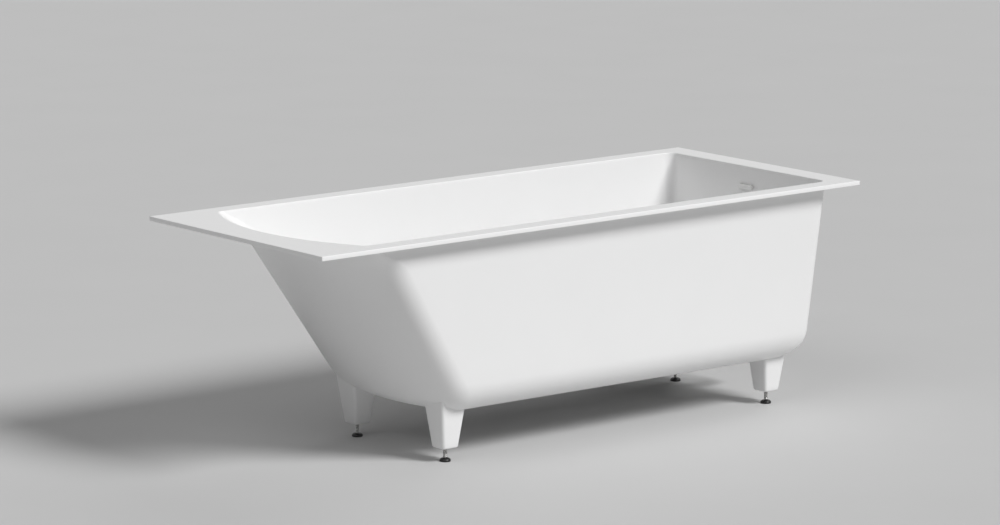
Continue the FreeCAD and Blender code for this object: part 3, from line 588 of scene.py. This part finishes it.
# %% The edge of the opening
def opening_loops():
    """The rim's top bends down into the basin on a small radius, less where the backrest rolls."""
    edge, below = inner_levels[0], inner_levels[1]
    loops = [[] for _ in range(edge_steps + 2)]
    for (corner, out), (lower, _) in zip(edge, below):
        down = (lower - corner).normalized()
        reach = opening_roll * math.tan(math.acos(max(-1, min(1, -out.dot(down)))) / 2)
        first, last = corner + out * reach, corner + down * reach
        loops[0].append(first + out * support)
        for step in range(edge_steps + 1):
            loops[step + 1].append(curve(first, corner, last, step / edge_steps))
    return loops


print("loops round the opening:", len(opening_loops()))

# %% The casting as one ring of loops
inside_bottom = underside + floor_thickness
drain_underside = floor_height(drain_x, underside)
recess_height = drain_underside + floor_thickness - recess_depth
spot_height = drain_underside + spot_depth

under_edge = points(outer_levels[-1], -floor_support)
under_circle = drain_loop(spot_radius + drain_support, bottom=underside)
floor_edge = points(inner_levels[-1], -floor_support)
floor_circle = drain_loop(recess_radius + drain_support, bottom=inside_bottom)
middle_share = 0.4

tub_loops = [drain_loop(drain_hole, spot_height), drain_loop(spot_radius, spot_height),
             drain_loop(spot_radius, bottom=underside), under_circle,
             between(under_circle, under_edge, middle_share), under_edge]
tub_loops += [points(loop) for loop in reversed(outer_levels)]
tub_loops.append(rim_loop(rim_round + support, rim_bottom))
tub_loops += [rim_loop(rim_round * (1 - math.sin(a)), rim_bottom + rim_round * (1 - math.cos(a)))
              for a in quarter(edge_steps)]
tub_loops += [rim_loop(rim_round * (1 - math.cos(a)), rim_top - rim_round * (1 - math.sin(a)))
              for a in quarter(edge_steps)]
tub_loops.append(rim_loop(rim_round + support, rim_top))
tub_loops += opening_loops()
tub_loops += [points(loop) for loop in inner_levels[1:]]
tub_loops += [floor_edge, between(floor_edge, floor_circle, 1 - middle_share), floor_circle,
              drain_loop(recess_radius, bottom=inside_bottom), drain_loop(recess_radius, recess_height),
              drain_loop(drain_hole, recess_height)]
tub = build("cast_tub", *loft(tub_loops, ring=True), gelcoat_white)
print("tub", len(tub.data.polygons), "faces before the overflow hole")

# %% [markdown]
# The fittings of the overflow stand square to the foot wall, which leans by about three degrees. One
# matrix moves anything modelled on Z to that place, with +Z pointing into the basin. The overflow itself
# is a flat slot with half-round ends, so it and its cover are lofts of such slot-shaped loops.

# %% Overflow slot
foot_slope = (foot_top_x - foot_low_x) / (rim_bottom - floor_height(foot_low_x, underside))
overflow_drop = 53.5
overflow_height = rim_top - overflow_drop
wall_face_x = foot_top_x - foot_slope * (rim_bottom - overflow_height) - wall * math.hypot(1, foot_slope)
on_foot_wall = (Matrix.Translation((wall_face_x, 0, overflow_height))
                @ Matrix.Rotation(math.atan(foot_slope) - math.pi / 2, 4, "Y"))
slot_length, slot_height = 44.0, 8.0
cut_behind, cut_before = 20.0, 10.0
slot_end_steps = 16


def slot_loop(length, height, lift):
    """Loop with half-round ends on the foot wall, this far in front of the wall's face."""
    radius = height / 2
    half = length / 2 - radius
    loop = []
    for side in (1, -1):
        for k in range(slot_end_steps + 1):
            angle = mix(-math.pi / 2, math.pi / 2, k / slot_end_steps)
            loop.append(on_foot_wall @ Vector((side * radius * math.sin(angle),
                                               side * (half + radius * math.cos(angle)), lift)))
    return loop


def cut(target, shape):
    """Cut a (vertices, faces) shape out of a finished mesh and keep the result as a plain mesh."""
    tool = build("cutter", *shape, target.data.materials[0])
    modifier = target.modifiers.new("cut", "BOOLEAN")
    modifier.operation, modifier.solver, modifier.object = "DIFFERENCE", "EXACT", tool
    settle(target)
    bpy.data.objects.remove(tool)


cut(tub, loft([slot_loop(slot_length, slot_height, -cut_behind),
               slot_loop(slot_length, slot_height, cut_before)]))
fit(tub, "cast_white", "tub", "tub_shell")

# %% [markdown]
# ## Legs
# Each leg is a square pillar that widens upwards, with its long edges rounded to 8 mm, cast with the same
# skin and bonded under the basin. Its top has to follow the curved hull. A Boolean could trim a longer
# leg, but would leave uneven faces along the hull, so every line up the leg is sent as a ray against the
# finished tub instead, and the leg ends where its rays meet the casting.

# %% Sizes of the legs, in millimetres
leg_bottom, leg_side, leg_taper, leg_round, leg_foot_round = 34.5, 48.0, 0.123, 8.0, 4.5
# The least corner radius of a loop, and how far up a leg's line is aimed from
least_round, aim_height = 0.5, 60.0
sleeve_radius, sleeve_length, bore_radius, bore_depth = 7.0, 25.0, 5.8, 62.0
head_leg_setback, foot_leg_setback, side_leg_setback = 56.0, 69.0, 83.0
head_leg_x, foot_leg_x = head_low_x + head_leg_setback, foot_low_x - foot_leg_setback
leg_y = side_low_y - side_leg_setback
leg_places = {"head_front": (head_leg_x, -leg_y), "head_back": (head_leg_x, leg_y),
              "foot_front": (foot_leg_x, -leg_y), "foot_back": (foot_leg_x, leg_y)}
corner_steps, edge_points = 6, 4


def square_loop(half, radius):
    """Rounded square about the origin as (x, y) pairs, evenly spread."""
    loop = []
    for side in range(4):
        spin = Matrix.Rotation(side * math.pi / 2, 2)
        straight = half - radius
        for k in range(edge_points):
            loop.append(spin @ Vector((half, mix(-straight, straight, k / edge_points))))
        for k in range(corner_steps):
            angle = math.pi / 2 * k / corner_steps
            corner = Vector((straight, straight)) + radius * Vector((math.cos(angle), math.sin(angle)))
            loop.append(spin @ corner)
    return loop


print("legs at", {place: (round(x), round(y)) for place, (x, y) in leg_places.items()})


# %% Leg meshes
def leg(place, hull, rows=8, sink=1.0):
    """One leg, with its top sunk a little into the hull and its foot bored for the sleeve."""
    x, y = leg_places[place]
    centre = Vector((x, y, 0))

    def at(height, inset=0.0):
        half = leg_side / 2 + leg_taper * (height - leg_bottom) - inset
        corner = max(leg_round - inset, least_round)
        return [Vector((p.x, p.y, height)) + centre for p in square_loop(half, corner)]

    low, high = at(leg_bottom + leg_foot_round), at(leg_bottom + aim_height)
    tops = []
    for start, end in zip(low, high):
        way = (end - start).normalized()
        hit = hull.ray_cast(start * mm, way)[0]
        tops.append(hit / mm + way * sink)
    angles = [math.atan2(p.y - y, p.x - x) for p in low]

    def ring(radius, height):
        return [around(radius, height, angle, x, y) for angle in angles]

    loops = [ring(bore_radius, leg_bottom + bore_depth), ring(bore_radius, leg_bottom + sleeve_length),
             ring(sleeve_radius, leg_bottom + sleeve_length), ring(sleeve_radius, leg_bottom),
             at(leg_bottom, leg_foot_round + support)]
    for a in quarter(edge_steps):
        loops.append(at(leg_bottom + leg_foot_round * (1 - math.cos(a)), leg_foot_round * (1 - math.sin(a))))
    loops += [between(low, tops, row / rows) for row in range(1, rows + 1)]
    made = build("cast_leg_" + place, *loft(loops), gelcoat_white)
    return fit(made, "leg_white", "tub", "leg_" + place)


hull = BVHTree.FromPolygons([v.co.copy() for v in tub.data.vertices],
                            [tuple(p.vertices) for p in tub.data.polygons])
for place in leg_places:
    leg(place, hull)

# %% [markdown]
# ## Levelling feet
# Each foot is a zinc-plated M10 stud in a threaded brass sleeve, and its ball end snaps into a satin
# black pad. The thread is real geometry. A screw thread is a surface whose radius depends only on how far
# the height is ahead of the turn, so a grid of rows up the stud and columns around it, pushed in or out
# by that one rule, gives the whole helix without any path to follow.

# %% Sizes of a levelling foot, and the rule of its thread
pitch, thread_depth, stud_radius, stud_top = 1.5, 0.9, 5.0, 78.0
crest_half, flank, end_chamfer, thread_sharp_deg = 0.08, 0.3, 1.0, 50.0
ball_radius, ball_height, neck_radius, axis_radius = 4.2, 4.7, 3.2, 0.01
pad_radius, pad_top_radius, pad_height, pad_edge, pad_gap = 13.75, 6.2, 8.6, 2.6, 0.5
rows_per_turn, thread_columns, ball_steps = 8, 40, 14
shank_low = pad_height + pad_gap
neck_angle = math.acos(neck_radius / ball_radius)


def thread_radius(height, angle):
    """Outside radius of a right-hand thread: a flat crest, sloping flanks and a flat root."""
    ahead = (height / pitch - angle / (2 * math.pi)) % 1.0
    from_crest = min(ahead, 1 - ahead)
    depth = min(max((from_crest - crest_half) / flank, 0.0), 1.0)
    end = min(height - shank_low, stud_top - height)
    return min(stud_radius - depth * thread_depth, stud_radius - end_chamfer + max(end, 0.0))


print("radius at the shank's middle, all round:",
      [round(thread_radius((shank_low + stud_top) / 2, turn), 2) for turn in range(6)])


# %% Studs
def stud(place):
    """Ball, neck and threaded shank as one stack of loops."""
    x, y = leg_places[place]
    section = [(axis_radius, ball_height - ball_radius)]
    section += [(ball_radius * math.cos(a), ball_height + ball_radius * math.sin(a)) for a in
                (mix(-math.pi / 2, neck_angle, (k + 1) / ball_steps) for k in range(ball_steps))]
    section.append((neck_radius, shank_low))
    turns = [2 * math.pi * k / thread_columns for k in range(thread_columns)]
    loops = [[around(radius, height, a, x, y) for a in turns] for radius, height in section]
    rows = int((stud_top - shank_low) / pitch * rows_per_turn)
    for row in range(rows + 1):
        height = mix(shank_low, stud_top, row / rows)
        loops.append([around(thread_radius(height, a), height, a, x, y) for a in turns])
    made = build("threaded_stud_" + place, *loft(loops), bright_zinc, thread_sharp_deg)
    return fit(made, "zinc_steel", "stud_" + place, "foot_stud_" + place)


print("turns of thread on a stud:", round((stud_top - shank_low) / pitch, 1))

# %% Pads
ball_gap, dome_steps, socket_steps, pad_segments = 0.05, 12, 10, 72
sole_round, sole_round_middle = 0.8, 0.23
mouth_width, mouth_lip, mouth_depth = 0.4, 0.1, 0.5


def pad(place):
    """Domed pad: a flat sole, a short upright edge, an elliptical dome and the socket for the ball."""
    dome = [(pad_top_radius + (pad_radius - pad_top_radius) * math.cos(a),
             pad_edge + (pad_height - pad_edge) * math.sin(a)) for a in quarter(dome_steps)]
    socket_radius = ball_radius + ball_gap
    socket = [(max(socket_radius * math.cos(a), 0.0), ball_height + socket_radius * math.sin(a)) for a in
              (mix(neck_angle, -math.pi / 2, k / socket_steps) for k in range(socket_steps + 1))]
    sole = [(0, 0), (pad_radius - sole_round, 0),
            (pad_radius - sole_round_middle, sole_round_middle), (pad_radius, sole_round)]
    mouth = [(socket[0][0] + mouth_width, pad_height - mouth_lip),
             (socket[0][0], pad_height - mouth_depth)]
    place_matrix = Matrix.Translation((*leg_places[place], 0))
    made = build("domed_pad_" + place, *turned(sole + dome + mouth + socket, pad_segments, place_matrix),
                 black_moulding)
    return fit(made, "black_plastic", "pad_" + place, "foot_pad_" + place)


for place in leg_places:
    stud(place)
    pad(place)

# %% Brass sleeves in the legs
sleeve_gap, sleeve_chamfer, sleeve_segments = 0.05, 0.4, 48
sleeve_bore = stud_radius + sleeve_gap
sleeve_section = soften([(sleeve_bore, leg_bottom), (sleeve_radius, leg_bottom),
                         (sleeve_radius, leg_bottom + sleeve_length),
                         (sleeve_bore, leg_bottom + sleeve_length)], sleeve_chamfer)
sleeves = merge(*[turned(sleeve_section, sleeve_segments, Matrix.Translation((x, y, 0)))
                  for x, y in leg_places.values()])
fit(build("brass_sleeves", *sleeves, turned_brass), "brass", "tub", "leg_sleeves")

# %% [markdown]
# ## Waste and overflow
# In the basin only three things show: the slim overflow cover, the plug, and the ring of the waste flange
# around the plug. Cover and plug are on show, so they are built here with even faces and aren't copied
# from the CAD model. The cover is a loft of slot-shaped loops with a rounded front edge, open along its
# lower side for the water. The plug is a turned piece: one half section spun about its axis.

# %% Overflow cover
cover_length, cover_height, cover_depth, cover_shell = 54.0, 14.0, 7.0, 1.5
cover_gap, cover_round, cover_round_steps, inlet_length = 0.3, 1.5, 5, 36.0
cover_roof = cover_depth - cover_shell


def cover_loop(inset, lift):
    """The cover's outline, drawn in by a distance."""
    return slot_loop(cover_length - 2 * inset, cover_height - 2 * inset, lift)


cover_loops = [cover_loop(cover_shell, cover_roof), cover_loop(cover_shell, cover_gap),
               cover_loop(0, cover_gap)]
for turn in quarter(cover_round_steps):
    cover_loops.append(cover_loop(cover_round * (1 - math.cos(turn)),
                                  cover_depth - cover_round * (1 - math.sin(turn))))
cover_loops.append(cover_loop(cover_round + support, cover_depth))
overflow_cover = build("slim_overflow_cover", *loft(cover_loops), white_lacquer)
inlet_corners = [(-cover_height, -inlet_length / 2), (0, -inlet_length / 2), (0, inlet_length / 2),
                 (-cover_height, inlet_length / 2)]
cut(overflow_cover, loft([[on_foot_wall @ Vector((up, along, lift)) for up, along in inlet_corners]
                          for lift in (-cover_gap, cover_roof)]))
fit(overflow_cover, "white_lacquer", "tub", "overflow_cap")

# %% Plug
flange_seal, flange_thickness = 1.5, 3.0
plug_radius, plug_edge, plug_rise, plug_gap, plug_chamfer = 31.0, 3.6, 2.2, 0.3, 0.6
plug_bore, plug_sleeve, plug_sleeve_length, plug_dome_steps = 7.56, 9.4, 18.0, 16
plug_low = recess_height + flange_seal + flange_thickness + plug_gap
plug_dome = [(plug_radius * math.cos(a), plug_low + plug_edge + plug_rise * math.sin(a))
             for a in quarter(plug_dome_steps)[:-1]]
plug_section = ([(0, plug_low), (plug_bore, plug_low), (plug_bore, plug_low - plug_sleeve_length),
                 (plug_sleeve, plug_low - plug_sleeve_length), (plug_sleeve, plug_low),
                 (plug_radius - plug_chamfer, plug_low), (plug_radius, plug_low + plug_chamfer)]
                + plug_dome + [(0, plug_low + plug_edge + plug_rise)])
on_drain = Matrix.Translation((drain_x, 0, 0))
plug = build("domed_plug", *turned(plug_section, place=on_drain), white_lacquer)
fit(plug, "white_lacquer", "plug", "plug_cap")

# %% [markdown]
# ## Union nuts and the overflow pipe
# Four union nuts hold the pipes in their ports. Each is a turned ring with eight grip ribs at even steps,
# so the ring is spun as before and Geometry Nodes repeat the rib: a circle with one point for each rib, a
# rounded bar on every point, turned to face outwards. The overflow pipe follows a path instead: two
# straight lines with one bend, and a round profile carried along them. Both trees have named inputs, so
# the same two trees would serve another size of pipe.

# %% Geometry Nodes helpers
def start_group(name, *sockets):
    """A Geometry Nodes group with these (name, kind) inputs after its geometry."""
    group = bpy.data.node_groups.new(name, "GeometryNodeTree")
    group.interface.new_socket("Geometry", in_out="INPUT", socket_type="NodeSocketGeometry")
    for label, kind in sockets:
        group.interface.new_socket(label, in_out="INPUT", socket_type="NodeSocket" + kind)
    group.interface.new_socket("Material", in_out="INPUT", socket_type="NodeSocketMaterial")
    group.interface.new_socket("Geometry", in_out="OUTPUT", socket_type="NodeSocketGeometry")
    return group, group.nodes.new("NodeGroupInput").outputs


def end_group(group, given, geometry):
    """Make the instances real, give them the material and hand them out."""
    real = add(group, "GeometryNodeRealizeInstances", {"Geometry": geometry})
    dressed = add(group, "GeometryNodeSetMaterial",
                  {"Geometry": real.outputs[0], "Material": given["Material"]})
    add(group, "NodeGroupOutput", {"Geometry": dressed.outputs[0]})


def grow(made, group, values):
    """Put the group on an object with its inputs set."""
    modifier = made.modifiers.new(group.name, "NODES")
    modifier.node_group = group
    for item in group.interface.items_tree:
        if item.in_out == "INPUT" and item.name in values:
            modifier[item.identifier] = values[item.name]


print("helpers for node groups ready")

# %% The tree for grip ribs
grip_ribs, given = start_group("grip_ribs", ("Ribs", "Int"), ("Ring Radius", "Float"),
                               ("Rib Depth", "Float"), ("Rib Width", "Float"), ("Rib Length", "Float"),
                               ("Edge Radius", "Float"))
spots = add(grip_ribs, "GeometryNodeMeshCircle",
            {"Vertices": given["Ribs"], "Radius": given["Ring Radius"]})
outline_curve = add(grip_ribs, "GeometryNodeCurvePrimitiveQuadrilateral",
                    {"Width": given["Rib Depth"], "Height": given["Rib Width"]})
rounded = add(grip_ribs, "GeometryNodeFilletCurve",
              {"Curve": outline_curve.outputs[0], "Radius": given["Edge Radius"], "Count": 4}, mode="POLY")
bar_end = add(grip_ribs, "ShaderNodeCombineXYZ", {"Z": given["Rib Length"]})
bar_line = add(grip_ribs, "GeometryNodeCurvePrimitiveLine", {"End": bar_end.outputs[0]})
bar = add(grip_ribs, "GeometryNodeCurveToMesh",
          {"Curve": bar_line.outputs[0], "Profile Curve": rounded.outputs[0], "Fill Caps": True})
number = add(grip_ribs, "GeometryNodeInputIndex")
step_angle = add(grip_ribs, "ShaderNodeMath", {0: 2 * math.pi, 1: given["Ribs"]}, operation="DIVIDE")
turn_angle = add(grip_ribs, "ShaderNodeMath", {0: number.outputs[0], 1: step_angle.outputs[0]},
                 operation="MULTIPLY")
facing = add(grip_ribs, "ShaderNodeCombineXYZ", {"Z": turn_angle.outputs[0]})
placed = add(grip_ribs, "GeometryNodeInstanceOnPoints",
             {"Points": spots.outputs[0], "Instance": bar.outputs[0], "Rotation": facing.outputs[0]})
joined = add(grip_ribs, "GeometryNodeJoinGeometry", {"Geometry": given["Geometry"]})
grip_ribs.links.new(placed.outputs[0], joined.inputs["Geometry"])
end_group(grip_ribs, given, joined.outputs[0])
print("tree", grip_ribs.name, "has", len(grip_ribs.nodes), "nodes")

# %% Union nuts
nut_wall, nut_length, nut_end_wall, port_wall, fit_gap = 3.4, 20.0, 3.0, 3.4, 0.1
nut_round, nut_segments = 0.5, 72
rib_count, rib_height, rib_width, rib_edge = 8, 0.8, 3.0, 0.6
rib_root = 0.5 * nut_wall
overflow_pipe_radius, waste_pipe_radius = 14.0, 20.0


def union_nut(node, pipe_radius, along):
    """Ring, end wall and ribs built on Z, then aimed along the pipe's direction."""
    port_radius = pipe_radius + port_wall
    outer = port_radius + nut_wall
    inside = nut_length - nut_end_wall
    section = soften([(port_radius + fit_gap, 0), (outer, 0), (outer, nut_length),
                      (pipe_radius + fit_gap, nut_length), (pipe_radius + fit_gap, inside),
                      (port_radius + fit_gap, inside)], nut_round)
    nut = build(node + "_skin", *turned(section, nut_segments), grey_polypropylene)
    grow(nut, grip_ribs, {"Ribs": rib_count, "Ring Radius": (outer + 0.5 * (rib_height - rib_root)) * mm,
                          "Rib Depth": (rib_height + rib_root) * mm, "Rib Width": rib_width * mm,
                          "Rib Length": inside * mm, "Edge Radius": rib_edge * mm,
                          "Material": grey_polypropylene})
    settle(nut)
    low, high = (Vector(corner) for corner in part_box(node))
    way = Vector(along)
    base = (low + high) / 2 - way * (nut_length * mm / 2)
    nut.data.transform(Matrix.Translation(base) @ way.to_track_quat("Z", "Y").to_matrix().to_4x4())
    return fit(nut, "grey_pp", "tub", node)


union_nut("overflow_pipe_nut_top", overflow_pipe_radius, (0, 0, -1))
union_nut("overflow_pipe_nut_low", overflow_pipe_radius, (1, 0, 0))
union_nut("trap_inlet_nut", waste_pipe_radius, (0, 1, 0))
union_nut("trap_outlet_nut", waste_pipe_radius, (0, 1, 0))

# %% The tree for a bent pipe
bent_pipe, given = start_group("bent_pipe", ("Bend Radius", "Float"), ("Pipe Radius", "Float"))
path = add(bent_pipe, "GeometryNodeMeshToCurve", {"Mesh": given["Geometry"]})
curved = add(bent_pipe, "GeometryNodeFilletCurve",
             {"Curve": path.outputs[0], "Radius": given["Bend Radius"], "Count": 24}, mode="POLY")
ring = add(bent_pipe, "GeometryNodeCurvePrimitiveCircle",
           {"Resolution": 64, "Radius": given["Pipe Radius"]})
skin = add(bent_pipe, "GeometryNodeCurveToMesh",
           {"Curve": curved.outputs[0], "Profile Curve": ring.outputs[0]})
end_group(bent_pipe, given, skin.outputs[0])
print("tree", bent_pipe.name, "has", len(bent_pipe.nodes), "nodes")

# %% [markdown]
# The path is three points, read from the box of the CAD pipe: its top end, its corner and its far end.
# The swept skin has no thickness, so Solidify gives it the wall inwards and closes both ends.

# %% Overflow pipe
pipe_wall, overflow_bend_radius = 2.0, 40.0
pipe_low, pipe_high = (Vector(corner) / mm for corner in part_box("overflow_pipe"))
run_x, run_z = pipe_high.x - overflow_pipe_radius, pipe_low.z + overflow_pipe_radius
path_mesh = bpy.data.meshes.new("overflow_pipe_skin")
path_mesh.from_pydata([Vector(point) * mm for point in ((run_x, 0, pipe_high.z), (run_x, 0, run_z),
                                                        (pipe_low.x, 0, run_z))], [(0, 1), (1, 2)], [])
pipe = put_in_scene("overflow_pipe_skin", path_mesh)
grow(pipe, bent_pipe, {"Bend Radius": overflow_bend_radius * mm, "Pipe Radius": overflow_pipe_radius * mm,
                       "Material": white_polypropylene})
wall_modifier = pipe.modifiers.new("wall", "SOLIDIFY")
wall_modifier.thickness, wall_modifier.offset = pipe_wall * mm, -1.0
settle(pipe)
fit(pipe, "white_pp", "tub", "overflow_pipe")

# %% [markdown]
# The other fittings are polypropylene mouldings, a chrome flange and rubber rings. Their CAD forms are
# already right, so each is a smooth copy with its own finish.

# %% Fittings from their CAD forms
for node, material, slot in (
    ("waste_flange", polished_chrome, "chrome"),
    ("waste_flange_seal", seal_rubber, "seal_rubber"),
    ("waste_body_seal", seal_rubber, "seal_rubber"),
    ("click_cartridge", turned_brass, "brass"),
    ("waste_body", white_polypropylene, "white_pp"),
    ("trap_body", white_polypropylene, "white_pp"),
    ("trap_cup", grey_polypropylene, "grey_pp"),
    ("trap_seal", seal_rubber, "seal_rubber"),
    ("waste_pipe", white_polypropylene, "white_pp"),
    ("overflow_flange", white_polypropylene, "white_pp"),
    ("overflow_screw", turned_stainless, "stainless"),
    ("overflow_gasket", seal_rubber, "seal_rubber"),
    ("overflow_elbow", white_polypropylene, "white_pp"),
):
    smooth_copy(node, material, slot)
smooth_copy("plug_seal", seal_rubber, "seal_rubber", "plug")

# %% [markdown]
# ## Floor and light
# The tub stands on a seamless pale grey sheet. Area lamps would light its near end more than its far one,
# so suns with a wide disc act as softboxes: a key in front and a little to the right, which throws the
# long shadow to the left, and a weak fill from each end. A dim even sky lifts the darkest shadows. Camera
# and mirror rays see that sky in the sheet's own grey, so the sheet has no horizon.

# %% Studio floor
def studio_floor(cloud_mm=400.0, reach=60.0):
    """A pale grey sheet, this many metres to each side, with a faint cloudiness."""
    dull = {"Roughness": 0.9, "Specular IOR Level": 0.2}
    material, tree, shader, coords = start_material("paper_sheet", dull)
    cloud = add(tree, "ShaderNodeTexNoise", {"Vector": coords, "Scale": per_metre(cloud_mm), "Detail": 2.0})
    tone = add(tree, "ShaderNodeMix", {0: cloud.outputs["Fac"], 6: linear("#C9C9C9"),
                                       7: linear("#CCCCCC")}, data_type="RGBA")
    tree.links.new(tone.outputs[2], shader.inputs["Base Color"])
    mesh = bpy.data.meshes.new("studio_floor")
    mesh.from_pydata([(-reach, -reach, 0), (reach, -reach, 0), (reach, reach, 0), (-reach, reach, 0)], [],
                     [(0, 1, 2, 3)])
    mesh.materials.append(material)
    put_in_scene("studio_floor", mesh)
    print("studio floor reaches", reach, "m to each side")


studio_floor()

# %% Studio sky
backdrop_grey = "#BFBFBF"


def studio_sky(fill):
    """White light of this strength from all around, and the backdrop's grey to camera and mirrors."""
    world = bpy.data.worlds.new("studio_sky")
    bpy.context.scene.world = world
    world.use_nodes = True
    tree = world.node_tree
    tree.nodes.clear()
    rays = add(tree, "ShaderNodeLightPath")
    seen = add(tree, "ShaderNodeMath", {0: rays.outputs["Is Camera Ray"], 1: rays.outputs["Is Glossy Ray"]},
               operation="MAXIMUM")
    light = add(tree, "ShaderNodeBackground", {"Color": (1.0, 1.0, 1.0, 1.0), "Strength": fill})
    backdrop = add(tree, "ShaderNodeBackground", {"Color": linear(backdrop_grey), "Strength": 1.0})
    mixed = add(tree, "ShaderNodeMixShader",
                {0: seen.outputs[0], 1: light.outputs[0], 2: backdrop.outputs[0]})
    add(tree, "ShaderNodeOutputWorld", {"Surface": mixed.outputs[0]})
    print("sky of strength", fill, "behind a backdrop of", backdrop_grey)


studio_sky(fill=0.11)


# %% Lamps
def softbox(name, around_deg, up_deg, strength, width_deg):
    """A sun whose light comes from this compass angle, counted from +X towards +Y, and this height."""
    lamp = bpy.data.lights.new(name, "SUN")
    lamp.energy = strength
    lamp.angle = math.radians(width_deg)
    up = math.radians(up_deg)
    towards = around(math.cos(up), math.sin(up), math.radians(around_deg))
    put_in_scene(name, lamp).rotation_euler = towards.to_track_quat("Z", "Y").to_euler()


softbox("key", around_deg=288.0, up_deg=41.0, strength=2.6, width_deg=20.0)
softbox("fill_head_end", around_deg=200.0, up_deg=48.0, strength=0.5, width_deg=35.0)
softbox("fill_foot_end", around_deg=20.0, up_deg=45.0, strength=0.35, width_deg=40.0)
print("lamps", [item.name for item in bpy.data.lights])

# %% [markdown]
# ## Camera
# The photograph's own view: a long lens about 11 m away, a little above the rim, looking from the front
# and the head end. Its place was worked out from the corners of the rim and the feet.

# %% Camera and view settings
look_down_deg, look_round_deg = 10.5056, 38.9307
camera_data = bpy.data.cameras.new("photo_view")
camera_data.sensor_width = 36.0
camera_data.lens = 157.864
camera_data.clip_end = 200.0
camera = put_in_scene("photo_view", camera_data)
camera.location = (-6.7601, -8.3170, 2.4101)
camera.rotation_euler = (math.radians(90.0 - look_down_deg), 0.0, -math.radians(look_round_deg))
scene = bpy.context.scene
scene.camera = camera
scene.view_settings.view_transform = "Standard"
print("camera", [round(c, 3) for c in camera.location], "lens", round(camera_data.lens, 1), "mm")
